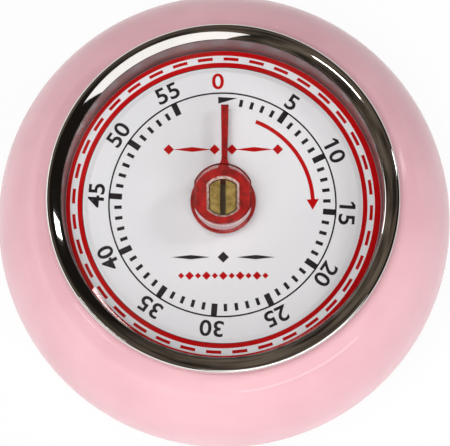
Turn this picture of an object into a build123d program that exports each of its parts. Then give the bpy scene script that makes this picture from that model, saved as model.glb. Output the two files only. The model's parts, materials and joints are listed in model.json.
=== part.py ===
from build123d import *
import math
import os

# Mechanical kitchen timer, in millimetres. The dial's axis is +Z, the back lies on z = 0 and 0 is at +Y.

# Case shell of painted steel sheet
case_bulge = 6.19
case_widest_z = 12.0
sheet = 0.8
neck_height = 1.2
neck_gutter_radius = 0.5
rim_edge_round = 0.25
well_depth = 6.33
well_floor_width = 5.8
base_flange_z = 1.5
base_flange_width = 2.81
movement_entry_gap = 3.4

# Setting ring and lens
ring_gap = 0.26
ring_wall = 0.5
ring_skirt_drop = 0.93
ring_well_gap = 0.05
ring_crest_rise = 1.68
ring_edge_round = 0.5
ring_crest_degrees = 18
ring_slope_drop = 0.95
lens_bond = 0.03
lens_wall = 0.7
lens_skirt_depth = 0.5
lens_shoulder_radius = 0.9
lens_edge_height = 0.8
lens_crown_rise = 3.4
socket_clearance = 0.06
socket_wall = 0.6
socket_lift = 1.1

# Dial plate
dial_sheet = 0.5
dial_edge_gap = 0.15
dial_border_width = 3.0
dial_roll_width = 1.1
dial_roll_rise = 0.25
dial_hole_radius = 3.6

# Hand with its boss
hand_lift = 2.15
hand_sheet = 0.8
hub_radius = 5.25
boss_radius = 4.3
boss_across_flats = 7.8
boss_height = 4.2
hand_length = 15.8
hand_width = 0.95
hand_root_round = 2.6
hole_clearance = 0.05
hole_mouth_gap = 0.55
hole_mouth_depth = 1.6

# Main arbor of brass
arbor_radius = 2.75
arbor_across_flats = 4.05
arbor_end_drop = 0.5
arbor_slot_width = 0.9
arbor_slot_depth = 4.0
arbor_pivot_radius = 1.5
end_play = 0.15

# Movement plates, pillars and the screws that hang them in the case
plate = 1.0
plate_gap = 12.0
plate_edge_margin = 0.5
plate_well_gap = 0.7
spacer_height = 2.6
spacer_radius = 1.7
spacer_angles = (75, 195, 290)
pillar_radius = 1.5
pillar_inset = 3.6
pillar_angles = (45, 165, 312)
screw_radius = 0.9
screw_clearance = 0.05
screw_head_radius = 1.8
screw_head_height = 0.9
screw_slot_width = 0.45
screw_slot_depth = 0.4
screw_grip = 3.0
bush_radius = 4.5
bush_flange_radius = 5.5
bush_flange = 0.6
press_gap = 0.02
pivot_radius = 0.45
running_gap = 0.05
staff_radius = 0.8

# Mainspring and its post
spring_turns = 9
spring_strip = 0.25
spring_arbor_gap = 0.3
spring_coil_spacing = 0.8
spring_lift = 4.8
spring_headroom = 0.6
spring_post_radius = 0.9
spring_post_angle = 90
spring_post_overhang = 0.3

# Wheel train: teeth, pitch radii, heights in the plate gap and the way from each arbor to the next
wheel_teeth = 60
third_wheel_teeth = 50
leaf_count = 10
main_wheel_radius = 12.0
second_wheel_radius = 9.0
tooth_share = 0.44
leaf_share = 0.33
tooth_tip_share = 0.16
leaf_tip_share = 0.13
addendum_share = 0.85
dedendum_share = 1.3
leaf_addendum_share = 0.8
leaf_dedendum_share = 1.3
wheel_sheet = 0.6
main_wheel_sheet = 1.0
leaf_overlap = 0.4
main_wheel_lift = 1.0
second_wheel_lift = 3.4
third_wheel_drop = 1.6
second_direction = 200
third_direction = -49
escape_direction = -32
wheel_rim_width = 2.0
wheel_hub_radius = 2.0
crossing_count = 5
crossing_fill_share = 0.82

# Ratchet and click on the main wheel
ratchet_lift = 0.2
ratchet_sheet = 0.8
ratchet_teeth = 12
ratchet_tip_radius = 5.0
ratchet_root_radius = 4.2
click_width = 1.1
click_nose_width = 0.7
click_clearance = 0.12
click_pivot_distance = 8.4
click_pivot_turn = 38
click_direction = 54
click_rivet_radius = 0.45
click_rivet_head = 0.12
click_spring_strip = 0.2
click_spring_foot_radius = 0.6
click_spring_foot_distance = 9.8
click_spring_foot_turn = -10
click_spring_tip_distance = 6.25
click_spring_tip_turn = 14.5

# Stop cam and stop pin above the front plate
cam_lift = 0.35
cam_lug_sheet = 0.7
cam_sheet = 0.7
cam_hub_gap = 1.15
cam_radius = 8.5
cam_lug_inset = 0.3
stop_pin_radius = 0.8
stop_pin_inset = 1.25
stop_pin_angle = 60
stop_clearance = 0.12
setting_turn_degrees = 336
cam_notch_depth = 1.0
cam_notch_degrees = 20

# Escapement
escape_teeth = 15
escape_tip_radius = 4.5
escape_root_radius = 3.3
escape_tip_degrees = 1.4
escape_root_degrees = 13
escape_lift = 6.5
pallet_span_teeth = 3.5
pallet_pin_radius = 0.25
pallet_gap = 0.15
pallet_pin_drop = 0.3
anchor_lift = 0.3
anchor_sheet = 0.8
anchor_arm_width = 0.9
anchor_hub_radius = 1.5
anchor_direction = 15
balance_lift = 0.3
balance_sheet = 0.8
balance_length = 8.0
balance_width = 1.4
balance_weight_radius = 1.2
balance_direction = 60

# Strike work: star, hammer and bell
star_teeth = 5
star_tip_radius = 2.6
star_root_radius = 1.5
star_tip_degrees = 8
star_root_degrees = 48
star_lift = 6.0
star_sheet = 0.8
hammer_wheel_gap = 0.6
hammer_direction = 203
hammer_edge_margin = 3.16
hammer_hub_radius = 1.5
hammer_arm_width = 1.8
hammer_arm_sheet = 0.8
hammer_arm_drop = 0.6
hammer_head_radius = 1.5
hammer_head_height = 3.6
hammer_head_direction = 262
hammer_strike_gap = 0.3
tail_gap = 0.25
tail_width = 1.0
finger_gap = 0.3
finger_width = 1.2
bell_post_gap = 2.8
bell_cover_gap = 1.05
bell_sheet = 0.9
bell_depth = 5.8
bell_flat_radius = 5.0
bell_plate_gap = 1.2
bell_post_radius = 2.5
bell_post_flange = 0.8

# Back cover, magnets and cover posts
cover_edge_inset = 0.6
cover_plate = 1.5
cover_recess = 0.5
cover_foot_lap = 1.7
cover_spigot_gap = 0.2
cover_spigot_wall = 1.2
cover_spigot_height = 2.0
magnet_radius = 8.0
magnet_thickness = 2.4
magnet_spacing = 25.0
magnet_gap = 0.05
magnet_cup_wall = 1.0
magnet_cup_floor = 0.5
post_radius = 2.2
post_inset = 3.6
post_angles = (90, 210, 330)
post_rivet_head = 0.3
cover_screw_radius = 1.1
cover_screw_head_radius = 2.1
cover_screw_head_height = 1.1
cover_screw_length = 7.0
cover_screw_seat_gap = 0.15
slot_count = 5
slot_length = 13.0
slot_width = 1.2
slot_spacing = 2.2
slot_row_y = -15.5

# Shared values
overrun = 1.0
edge_round = 0.2
full_turn = 360
half_turn = 180
quarter_turn = 90


def polar(radius, angle):
    """Point at a radius and an angle in degrees from +X."""
    turn = math.radians(angle)
    return Vector(radius * math.cos(turn), radius * math.sin(turn))


def bearing(start, end):
    """Angle in degrees of the way from start to end."""
    return math.degrees(math.atan2(end.Y - start.Y, end.X - start.X))


def arc_rise(arc_radius, reach):
    """Height of a circle above its middle at a sideways reach."""
    return math.sqrt(arc_radius ** 2 - reach ** 2)


def upright_arc_radius(run, rise):
    """Radius of an arc that starts upright and then covers a run and a rise."""
    return (run ** 2 + rise ** 2) / (2 * run)


# Arbor centres, each one's way from the arbor that drives it
centre = Vector(0, 0)
main_module = 2 * main_wheel_radius / wheel_teeth
train_module = 2 * second_wheel_radius / wheel_teeth
second_centre = polar(main_module * (wheel_teeth + leaf_count) / 2, second_direction)
third_centre = second_centre + polar(train_module * (wheel_teeth + leaf_count) / 2, third_direction)
third_wheel_radius = train_module * third_wheel_teeth / 2
escape_way = polar(third_wheel_radius + train_module * leaf_count / 2, escape_direction)
escape_centre = third_centre + escape_way
pallet_half_span = full_turn / escape_teeth * pallet_span_teeth / 2
anchor_reach = escape_tip_radius / math.cos(math.radians(pallet_half_span))
anchor_centre = escape_centre + polar(anchor_reach, anchor_direction)
third_tip_radius = third_wheel_radius + addendum_share * train_module
hammer_centre = third_centre + polar(third_tip_radius + hammer_wheel_gap + staff_radius, hammer_direction)
finger_direction = bearing(centre, hammer_centre)
staff_centres = (second_centre, third_centre, escape_centre, anchor_centre)

# Radii worked out from the arbor outwards
spring_inner_radius = arbor_radius + spring_arbor_gap
cam_lug_radius = cam_radius - cam_lug_inset
stop_pin_distance = cam_lug_radius - stop_pin_inset
cam_hub_radius = stop_pin_distance - stop_pin_radius - cam_hub_gap

# Radii worked out from the movement outwards
plate_radius = hammer_centre.length + hammer_edge_margin
pillar_circle_radius = plate_radius - pillar_inset
post_circle_radius = plate_radius - post_inset
spacer_circle_radius = plate_radius - plate_edge_margin - spacer_radius
bell_radius = post_circle_radius - post_radius - bell_post_gap
well_radius = plate_radius + plate_well_gap
well_floor_inner_radius = well_radius - well_floor_width
rim_radius = well_radius + 2 * sheet
ring_skirt_radius = rim_radius + ring_gap
ring_radius = ring_skirt_radius + ring_wall
ring_inner_radius = well_radius - ring_well_gap
lens_radius = ring_inner_radius - lens_bond
dial_radius = well_radius - dial_edge_gap
base_flange_inner_radius = plate_radius + movement_entry_gap
base_corner_radius = base_flange_inner_radius + base_flange_width
cover_spigot_radius = base_flange_inner_radius - cover_spigot_gap
case_radius = base_corner_radius + case_bulge

# Heights worked out from the back cover upwards
cover_inner_z = cover_recess + cover_plate
magnet_cup_z = magnet_thickness + magnet_gap
bell_z = magnet_cup_z + magnet_cup_floor + bell_cover_gap
bell_rim_z = bell_z + bell_depth
back_plate_under_z = bell_rim_z + bell_plate_gap
back_plate_z = back_plate_under_z + plate
front_plate_under_z = back_plate_z + plate_gap
front_plate_z = front_plate_under_z + plate
well_floor_under_z = front_plate_z + spacer_height
well_floor_z = well_floor_under_z + sheet
rim_top_z = well_floor_z + well_depth
neck_foot_z = rim_top_z - neck_height
dial_face_z = well_floor_z + dial_sheet + dial_roll_rise
hand_z = dial_face_z + hand_lift
hand_face_z = hand_z + hand_sheet
boss_top_z = hand_face_z + boss_height
arbor_top_z = boss_top_z - arbor_end_drop
ring_ceiling_z = rim_top_z + ring_gap
ring_crest_z = ring_ceiling_z + ring_crest_rise
lens_edge_z = ring_ceiling_z + lens_edge_height
lens_crown_z = lens_edge_z + lens_crown_rise
lens_skirt_z = ring_ceiling_z - lens_skirt_depth
main_wheel_z = back_plate_z + main_wheel_lift
ratchet_z = main_wheel_z + main_wheel_sheet + ratchet_lift
second_wheel_z = back_plate_z + second_wheel_lift
third_wheel_z = front_plate_under_z - third_wheel_drop
spring_z = back_plate_z + spring_lift
spring_top_z = third_wheel_z - spring_headroom
escape_wheel_z = back_plate_z + escape_lift
anchor_z = escape_wheel_z + wheel_sheet + anchor_lift
balance_z = main_wheel_z + main_wheel_sheet + balance_lift
star_z = back_plate_z + star_lift
cam_lug_z = front_plate_z + cam_lift
cam_z = cam_lug_z + cam_lug_sheet
hammer_arm_z = back_plate_under_z - hammer_arm_drop - hammer_arm_sheet

# Quarter ellipse over the case's widest place and the arc under it, both upright where they meet
crown_run = case_radius - rim_radius
crown_rise = neck_foot_z - case_widest_z
base_arc_radius = upright_arc_radius(case_bulge, case_widest_z - base_flange_z)
base_arc_middle = case_radius - base_arc_radius

# Places of the pieces that repeat
pillar_points = [polar(pillar_circle_radius, angle) for angle in pillar_angles]
spacer_points = [polar(spacer_circle_radius, angle) for angle in spacer_angles]
post_points = [polar(post_circle_radius, angle) for angle in post_angles]
magnet_points = [Vector(side * magnet_spacing / 2, 0) for side in (-1, 1)]


def rod(radius, bottom, top, at=centre):
    """Round bar along Z between two heights."""
    bar_align = (Align.CENTER, Align.CENTER, Align.MIN)
    return Pos(at.X, at.Y, bottom) * Cylinder(radius, top - bottom, align=bar_align)


def bore(radius, bottom, top, at=centre):
    """Round cut that runs past both heights."""
    return rod(radius, bottom - overrun, top + overrun, at)


def tube(radius, inner_radius, bottom, top, at=centre):
    """Round bar with a bore right through."""
    return rod(radius, bottom, top, at) - bore(inner_radius, bottom, top, at)


def slab(outline, bottom, top):
    """Flat outline raised between two heights."""
    return extrude(Pos(0, 0, bottom) * outline, amount=top - bottom)


def disc(radius, at=centre):
    """Flat round outline."""
    return Pos(at.X, at.Y) * Circle(radius)


def bar(start, end, width):
    """Flat bar with round ends between two points."""
    middle = (start + end) / 2
    lie = Pos(middle.X, middle.Y) * Rot(0, 0, bearing(start, end))
    return lie * SlotCenterToCenter((end - start).length, width)


def double_d(radius, across_flats):
    """Round outline with flats facing left and right."""
    return Circle(radius) & Rectangle(across_flats, 2 * radius)


def arc_about(middle, start, end):
    """Arc about a middle, the short way from start to end."""
    hub = Vector(*middle)
    first = Vector(*start) - hub
    last = Vector(*end) - hub
    halfway = hub + (first.normalized() + last.normalized()).normalized() * first.length
    return ThreePointArc(start, halfway, end)


def turned(path):
    """Closed run of edges in radius and height, turned about the dial's axis."""
    return revolve(Plane.XZ * make_face(path), Axis.Z)


def toothed(teeth, tip_radius, root_radius, tip_degrees, root_degrees, first_angle, at=centre):
    """Outline of straight-sided teeth, with one tooth at the first angle."""
    points = []
    for tooth in range(teeth):
        middle = first_angle + full_turn * tooth / teeth
        points.append(at + polar(root_radius, middle - root_degrees / 2))
        points.append(at + polar(tip_radius, middle - tip_degrees / 2))
        points.append(at + polar(tip_radius, middle + tip_degrees / 2))
        points.append(at + polar(root_radius, middle + root_degrees / 2))
    return make_face(Polyline(*points, close=True))


def gear(teeth, module, first_angle, at, shares):
    """Gear outline from its module and its tooth, tip, addendum and dedendum shares."""
    pitch_radius = module * teeth / 2
    tooth, tip, addendum, dedendum = shares
    pitch_degrees = full_turn / teeth
    root_degrees = pitch_degrees * (2 * tooth - tip)
    tip_radius = pitch_radius + addendum * module
    root_radius = pitch_radius - dedendum * module
    return toothed(teeth, tip_radius, root_radius, pitch_degrees * tip, root_degrees, first_angle, at)


wheel_shares = (tooth_share, tooth_tip_share, addendum_share, dedendum_share)
leaf_shares = (leaf_share, leaf_tip_share, leaf_addendum_share, leaf_dedendum_share)


def crossings(rim_radius_inside, hub_radius, at, first_angle):
    """Round holes that lighten a wheel between its hub and its rim."""
    hole_circle = (rim_radius_inside + hub_radius) / 2
    room = min((rim_radius_inside - hub_radius) / 2, hole_circle * math.sin(math.pi / crossing_count))
    radius = room * crossing_fill_share
    return [disc(radius, at + polar(hole_circle, first_angle + full_turn * hole / crossing_count))
            for hole in range(crossing_count)]


def wheel(teeth, module, first_angle, at, bore_radius, hub_radius, bottom, thickness):
    """Toothed wheel with a bore and round crossings."""
    outline = gear(teeth, module, first_angle, at, wheel_shares)
    outline = outline - disc(bore_radius, at)
    inside = module * teeth / 2 - wheel_rim_width
    for hole in crossings(inside, hub_radius, at, first_angle):
        outline = outline - hole
    return slab(outline, bottom, bottom + thickness)


def staff(at):
    """Steel arbor with a pivot in each plate."""
    shoulder_low = back_plate_z + end_play
    shoulder_high = front_plate_under_z - end_play
    body = rod(staff_radius, shoulder_low, shoulder_high, at)
    return body + rod(pivot_radius, back_plate_under_z, front_plate_z, at)


def pinion(module, wheel_bottom, wheel_thickness, facing, at):
    """Leaves that run with a wheel lying in the direction faced."""
    first_angle = facing + half_turn / leaf_count
    outline = gear(leaf_count, module, first_angle, at, leaf_shares)
    return slab(outline, wheel_bottom - leaf_overlap, wheel_bottom + wheel_thickness + leaf_overlap)


def slotted_screw(radius, head_radius, head_height, seat_z, tip_z, at):
    """Pan-head screw whose head lies on the side of the seat away from the tip."""
    head_side = 1 if seat_z > tip_z else -1
    head_z = seat_z + head_side * head_height
    screw = rod(radius, min(seat_z, tip_z), max(seat_z, tip_z), at)
    screw += rod(head_radius, min(seat_z, head_z), max(seat_z, head_z), at)
    slot = Box(2 * head_radius + overrun, screw_slot_width, 2 * screw_slot_depth)
    return screw - Pos(at.X, at.Y, head_z) * slot


def small_screw(seat_z, tip_z, at):
    """Movement screw, from its seat to its tip."""
    return slotted_screw(screw_radius, screw_head_radius, screw_head_height, seat_z, tip_z, at)


def group(solids):
    """Separate solids of one kind under one name."""
    return Compound(children=list(solids))


# Case shell: dome, neck, hemmed rim, well wall and well floor in one sheet
def case_shell():
    base_inner_z = base_flange_z + sheet
    inner_reach = arc_rise(base_arc_radius - sheet, case_widest_z - base_inner_z)
    wall_outer_radius = well_radius + sheet
    crown_inner_z = neck_foot_z - sheet
    crown_middle = (rim_radius, case_widest_z)
    base_middle = (base_arc_middle, case_widest_z)
    base_corner = (base_corner_radius, base_flange_z)
    inner_corner = (base_arc_middle + inner_reach, base_inner_z)
    widest = (case_radius, case_widest_z)
    inner_widest = (case_radius - sheet, case_widest_z)
    neck_foot = (rim_radius, neck_foot_z)
    rim_outer = (rim_radius, rim_top_z)
    rim_inner = (well_radius, rim_top_z)
    hem = (wall_outer_radius, crown_inner_z)
    floor_edge = (well_floor_inner_radius, well_floor_z)
    path = [
        Line((base_flange_inner_radius, base_flange_z), base_corner),
        arc_about(base_middle, base_corner, widest),
        EllipticalCenterArc(crown_middle, crown_run, crown_rise, arc_size=quarter_turn),
        Line(neck_foot, rim_outer),
        Line(rim_outer, rim_inner),
        Line(rim_inner, (well_radius, well_floor_z)),
        Line((well_radius, well_floor_z), floor_edge),
        Line(floor_edge, (well_floor_inner_radius, well_floor_under_z)),
        Line((well_floor_inner_radius, well_floor_under_z), (wall_outer_radius, well_floor_under_z)),
        Line((wall_outer_radius, well_floor_under_z), hem),
        Line(hem, (rim_radius, crown_inner_z)),
        EllipticalCenterArc(crown_middle, crown_run - sheet, crown_rise - sheet, arc_size=quarter_turn),
        arc_about(base_middle, inner_widest, inner_corner),
        Line(inner_corner, (base_flange_inner_radius, base_inner_z)),
        Line((base_flange_inner_radius, base_inner_z), (base_flange_inner_radius, base_flange_z)),
    ]
    section = make_face(path)

    def near(point):
        return section.vertices().sort_by_distance(point)[0]

    section = section.face().fillet_2d(neck_gutter_radius, [near(neck_foot)])
    section = section.fillet_2d(rim_edge_round, [near(rim_outer), near(rim_inner)])
    section = section.fillet_2d(sheet / 2, [near(base_corner)])
    shell = revolve(Plane.XZ * section, Axis.Z)
    for point in spacer_points:
        shell -= bore(screw_radius + screw_clearance, well_floor_under_z, well_floor_z, point)
    return shell


# Setting ring: a channel over the case rim, rounded outside and sloping in to the lens
def setting_ring():
    skirt_z = rim_top_z - ring_skirt_drop
    edge_middle = (ring_radius - ring_edge_round, ring_crest_z - ring_edge_round)
    edge = CenterArc(edge_middle, ring_edge_round, 0, quarter_turn + ring_crest_degrees)
    lip = (ring_inner_radius, ring_crest_z - ring_slope_drop)
    path = [
        Line((ring_radius, skirt_z), edge @ 0),
        edge,
        TangentArc(edge @ 1, lip, tangent=edge % 1),
        Line(lip, (ring_inner_radius, ring_ceiling_z)),
        Line((ring_inner_radius, ring_ceiling_z), (ring_skirt_radius, ring_ceiling_z)),
        Line((ring_skirt_radius, ring_ceiling_z), (ring_skirt_radius, skirt_z)),
        Line((ring_skirt_radius, skirt_z), (ring_radius, skirt_z)),
    ]
    return turned(path)


def dome_section(radius, edge_z, crown_z, shoulder_radius, foot_z):
    """Filled half section of a dome with a rounded shoulder and a straight skirt."""
    edge = (radius, edge_z)
    crown = (0, crown_z)
    rise = crown_z - edge_z
    dome_radius = (radius ** 2 + rise ** 2) / (2 * rise)
    path = [
        Line((0, foot_z), (radius, foot_z)),
        Line((radius, foot_z), edge),
        arc_about((0, crown_z - dome_radius), edge, crown),
        Line(crown, (0, foot_z)),
    ]
    section = make_face(path).face()
    shoulder = section.vertices().sort_by_distance(edge)[0]
    return section.fillet_2d(shoulder_radius, [shoulder])


# Clear lens: domed cap with a skirt, and a socket that grips the boss of the hand
def lens():
    inner_radius = lens_radius - lens_wall
    outer = dome_section(lens_radius, lens_edge_z, lens_crown_z, lens_shoulder_radius, lens_skirt_z)
    inner = dome_section(inner_radius, lens_edge_z - lens_wall, lens_crown_z - lens_wall,
                         lens_shoulder_radius - lens_wall / 2, lens_skirt_z)
    cap = revolve(Plane.XZ * (outer - inner), Axis.Z)
    socket_radius = boss_radius + socket_clearance
    socket_flats = boss_across_flats + 2 * socket_clearance
    outline = double_d(socket_radius + socket_wall, socket_flats + 2 * socket_wall)
    outline = outline - double_d(socket_radius, socket_flats)
    return cap + slab(outline, hand_face_z + socket_lift, lens_crown_z - lens_wall / 2)


# Dial plate: raised face with an edge rolled down to the border
def dial_plate():
    border_inner = dial_radius - dial_border_width
    face_radius = border_inner - dial_roll_width
    border_z = well_floor_z + dial_sheet
    path = Polyline(
        (dial_hole_radius, dial_face_z),
        (face_radius, dial_face_z),
        (border_inner, border_z),
        (dial_radius, border_z),
        (dial_radius, well_floor_z),
        (border_inner, well_floor_z),
        (face_radius, dial_face_z - dial_sheet),
        (dial_hole_radius, dial_face_z - dial_sheet),
        close=True,
    )
    return turned(path)


# Hand: flat pointer and hub disc with a double-D boss
def hand():
    pointer = Pos(0, hand_length / 2) * Rectangle(hand_width, hand_length)
    blade = (Circle(hub_radius) + pointer).face()
    root_reach = arc_rise(hub_radius, hand_width / 2)
    corners = [blade.vertices().sort_by_distance((side * hand_width / 2, root_reach))[0] for side in (-1, 1)]
    blade = blade.fillet_2d(hand_root_round, corners)
    piece = slab(blade, hand_z, hand_face_z)
    piece += slab(double_d(boss_radius, boss_across_flats), hand_z, boss_top_z)
    hole = double_d(arbor_radius + hole_clearance, arbor_across_flats + 2 * hole_clearance)
    mouth = double_d(arbor_radius + hole_mouth_gap, arbor_across_flats + 2 * hole_mouth_gap)
    piece -= slab(hole, hand_z - overrun, boss_top_z + overrun)
    return piece - slab(mouth, boss_top_z - hole_mouth_depth, boss_top_z + overrun)


# Main arbor: round brass bar with a slotted double-D end
def main_arbor():
    shoulder_z = back_plate_z + end_play
    piece = rod(arbor_radius, shoulder_z, hand_z)
    piece += rod(arbor_pivot_radius, back_plate_under_z + running_gap, shoulder_z)
    piece += slab(double_d(arbor_radius, arbor_across_flats), hand_z, arbor_top_z)
    slot = Box(arbor_slot_width, 2 * arbor_radius + overrun, 2 * arbor_slot_depth)
    return piece - Pos(0, 0, arbor_top_z) * slot


# Movement plates with every pivot and screw hole
def front_plate():
    piece = rod(plate_radius, front_plate_under_z, front_plate_z)
    holes = [(bush_radius + press_gap, centre), (staff_radius + running_gap, hammer_centre)]
    holes += [(pivot_radius + running_gap, at) for at in staff_centres]
    holes += [(screw_radius + screw_clearance, at) for at in pillar_points + spacer_points]
    holes += [(stop_pin_radius + press_gap, polar(stop_pin_distance, stop_pin_angle))]
    holes += [(spring_post_radius + press_gap, spring_post_centre())]
    for radius, at in holes:
        piece -= bore(radius, front_plate_under_z, front_plate_z, at)
    return piece


def back_plate():
    piece = rod(plate_radius, back_plate_under_z, back_plate_z)
    holes = [(arbor_pivot_radius + running_gap, centre), (staff_radius + running_gap, hammer_centre)]
    holes += [(pivot_radius + running_gap, at) for at in staff_centres]
    holes += [(screw_radius + screw_clearance, at) for at in pillar_points]
    holes += [(cover_screw_radius + press_gap, at) for at in post_points]
    for radius, at in holes:
        piece -= bore(radius, back_plate_under_z, back_plate_z, at)
    return piece


def pillars():
    hole_radius = screw_radius + screw_clearance
    span = (back_plate_z, front_plate_under_z)
    return group(tube(pillar_radius, hole_radius, *span, at) for at in pillar_points)


def pillar_screws():
    solids = []
    for at in pillar_points:
        solids.append(small_screw(front_plate_z, front_plate_under_z - screw_grip, at))
        solids.append(small_screw(back_plate_under_z, back_plate_z + screw_grip, at))
    return group(solids)


def movement_spacers():
    hole_radius = screw_radius + screw_clearance
    span = (front_plate_z, well_floor_under_z)
    return group(tube(spacer_radius, hole_radius, *span, at) for at in spacer_points)


def movement_screws():
    tip_z = well_floor_z - screw_clearance
    return group(small_screw(front_plate_under_z, tip_z, at) for at in spacer_points)


def front_bush():
    bore_radius = arbor_radius + running_gap
    flange_z = front_plate_under_z - bush_flange
    piece = tube(bush_flange_radius, bore_radius, flange_z, front_plate_under_z)
    return piece + tube(bush_radius, bore_radius, front_plate_under_z, front_plate_z)


# Mainspring: strip wound in half circles, hooked round its post
def spring_outer_radius():
    return spring_inner_radius + spring_turns * spring_coil_spacing


def spring_post_centre():
    hook_radius = spring_post_radius + running_gap + spring_strip / 2
    return polar(spring_outer_radius() + hook_radius, spring_post_angle)


def mainspring():
    step = spring_coil_spacing / 2
    coils = []
    for half in range(2 * spring_turns + 1):
        radius = spring_inner_radius + half * step
        ahead = half % 2
        middle = (0, 0) if ahead == 0 else (0, -step)
        coils.append(CenterArc(middle, radius, spring_post_angle - half_turn + ahead * half_turn, half_turn))
    hook_radius = spring_post_radius + running_gap + spring_strip / 2
    post = spring_post_centre()
    coils.append(CenterArc((post.X, post.Y), hook_radius, spring_post_angle + half_turn, -half_turn))
    strip = trace(Wire(coils), spring_strip)
    return slab(strip, spring_z, spring_top_z)


def spring_post():
    return rod(spring_post_radius, spring_z - spring_post_overhang, front_plate_z, spring_post_centre())


# Stop cam with its lug, a notch for the hammer's finger, and the pin that ends the turn
def stop_cam():
    free_degrees = full_turn - setting_turn_degrees
    pin_degrees = math.degrees(math.asin((stop_pin_radius + stop_clearance) / stop_pin_distance))
    lug_degrees = free_degrees - 2 * pin_degrees
    lug_angle = stop_pin_angle - free_degrees / 2
    lug = [polar(arbor_radius, lug_angle - lug_degrees / 2),
           polar(cam_lug_radius, lug_angle - lug_degrees / 2),
           polar(cam_lug_radius, lug_angle + lug_degrees / 2),
           polar(arbor_radius, lug_angle + lug_degrees / 2)]
    floor_radius = cam_radius - cam_notch_depth
    notch = [polar(floor_radius, finger_direction - cam_notch_degrees / 2),
             polar(cam_radius + overrun, finger_direction - cam_notch_degrees / 2),
             polar(cam_radius + overrun, finger_direction + cam_notch_degrees / 2),
             polar(floor_radius, finger_direction + cam_notch_degrees / 2)]
    hole = Circle(arbor_radius + press_gap)
    hub = Circle(cam_hub_radius) + make_face(Polyline(*lug, close=True)) - hole
    plate_outline = Circle(cam_radius) - make_face(Polyline(*notch, close=True)) - hole
    return slab(hub, cam_lug_z, cam_z) + slab(plate_outline, cam_z, cam_z + cam_sheet)


def stop_pin():
    at = polar(stop_pin_distance, stop_pin_angle)
    return rod(stop_pin_radius, front_plate_under_z, cam_z - stop_clearance, at)


# Main wheel with its ratchet, click and click spring
def click_pivot():
    return polar(click_pivot_distance, click_direction + click_pivot_turn)


def main_wheel():
    piece = wheel(wheel_teeth, main_module, second_direction, centre, arbor_radius + press_gap,
                  ratchet_tip_radius, main_wheel_z, main_wheel_sheet)
    return piece - bore(click_rivet_radius + press_gap, main_wheel_z, ratchet_z, click_pivot())


def ratchet_wheel():
    pitch_degrees = full_turn / ratchet_teeth
    nose_room = click_nose_width / 2 + click_clearance
    first_angle = click_direction - math.degrees(nose_room / ratchet_root_radius)
    points = []
    for tooth in range(ratchet_teeth):
        angle = first_angle + pitch_degrees * tooth
        points.append(polar(ratchet_root_radius, angle))
        points.append(polar(ratchet_tip_radius, angle + pitch_degrees))
    outline = make_face(Polyline(*points, close=True)) - Circle(arbor_radius + press_gap)
    hub = Circle(ratchet_root_radius) - Circle(arbor_radius + press_gap)
    piece = slab(outline, ratchet_z, ratchet_z + ratchet_sheet)
    return piece + slab(hub, main_wheel_z + main_wheel_sheet, ratchet_z)


def click():
    pitch_degrees = full_turn / ratchet_teeth
    nose_room = click_nose_width / 2 + click_clearance
    rise_share = math.degrees(nose_room / ratchet_root_radius) / pitch_degrees
    flank_radius = ratchet_root_radius + (ratchet_tip_radius - ratchet_root_radius) * rise_share
    nose = polar(flank_radius + nose_room, click_direction)
    outline = bar(nose, click_pivot(), click_nose_width) + disc(click_width, click_pivot())
    outline = outline - disc(click_rivet_radius + press_gap, click_pivot())
    return slab(outline, ratchet_z, ratchet_z + ratchet_sheet)


def click_rivet():
    head_z = ratchet_z + ratchet_sheet
    piece = rod(click_rivet_radius, main_wheel_z, head_z + click_rivet_head, click_pivot())
    piece += rod(click_width / 2, main_wheel_z + main_wheel_sheet, ratchet_z, click_pivot())
    return piece + rod(click_width / 2, head_z, head_z + click_rivet_head, click_pivot())


def click_spring():
    foot = polar(click_spring_foot_distance, click_direction + click_spring_foot_turn)
    tip = polar(click_spring_tip_distance, click_direction + click_spring_tip_turn)
    outline = bar(foot, tip, click_spring_strip) + disc(click_spring_foot_radius, foot)
    return slab(outline, main_wheel_z + main_wheel_sheet, ratchet_z + ratchet_sheet)


# Wheel train from the main wheel to the escape wheel
def second_arbor():
    facing = bearing(second_centre, centre)
    return staff(second_centre) + pinion(main_module, main_wheel_z, main_wheel_sheet, facing, second_centre)


def second_wheel():
    facing = bearing(second_centre, third_centre)
    return wheel(wheel_teeth, train_module, facing, second_centre, staff_radius + press_gap,
                 wheel_hub_radius, second_wheel_z, wheel_sheet)


def third_arbor():
    facing = bearing(third_centre, second_centre)
    return staff(third_centre) + pinion(train_module, second_wheel_z, wheel_sheet, facing, third_centre)


def third_wheel():
    facing = bearing(third_centre, escape_centre)
    return wheel(third_wheel_teeth, train_module, facing, third_centre, staff_radius + press_gap,
                 wheel_hub_radius, third_wheel_z, wheel_sheet)


def escape_arbor():
    facing = bearing(escape_centre, third_centre)
    return staff(escape_centre) + pinion(train_module, third_wheel_z, wheel_sheet, facing, escape_centre)


def escape_wheel():
    quarter_pitch = full_turn / escape_teeth / 4
    first_angle = anchor_direction + pallet_half_span - quarter_pitch
    outline = toothed(escape_teeth, escape_tip_radius, escape_root_radius, escape_tip_degrees,
                      escape_root_degrees, first_angle, escape_centre)
    outline = outline - disc(staff_radius + press_gap, escape_centre)
    return slab(outline, escape_wheel_z, escape_wheel_z + wheel_sheet)


# Anchor with two pallet pins, and the balance bar that sets its beat
def pallet_points():
    reach = escape_tip_radius + pallet_gap + pallet_pin_radius
    return [escape_centre + polar(reach, anchor_direction + side * pallet_half_span) for side in (-1, 1)]


def anchor_arbor():
    return staff(anchor_centre)


def anchor():
    outline = disc(anchor_hub_radius, anchor_centre)
    for point in pallet_points():
        outline = outline + bar(anchor_centre, point, anchor_arm_width)
    outline = outline - disc(staff_radius + press_gap, anchor_centre)
    for point in pallet_points():
        outline = outline - disc(pallet_pin_radius + press_gap, point)
    return slab(outline, anchor_z, anchor_z + anchor_sheet)


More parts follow.
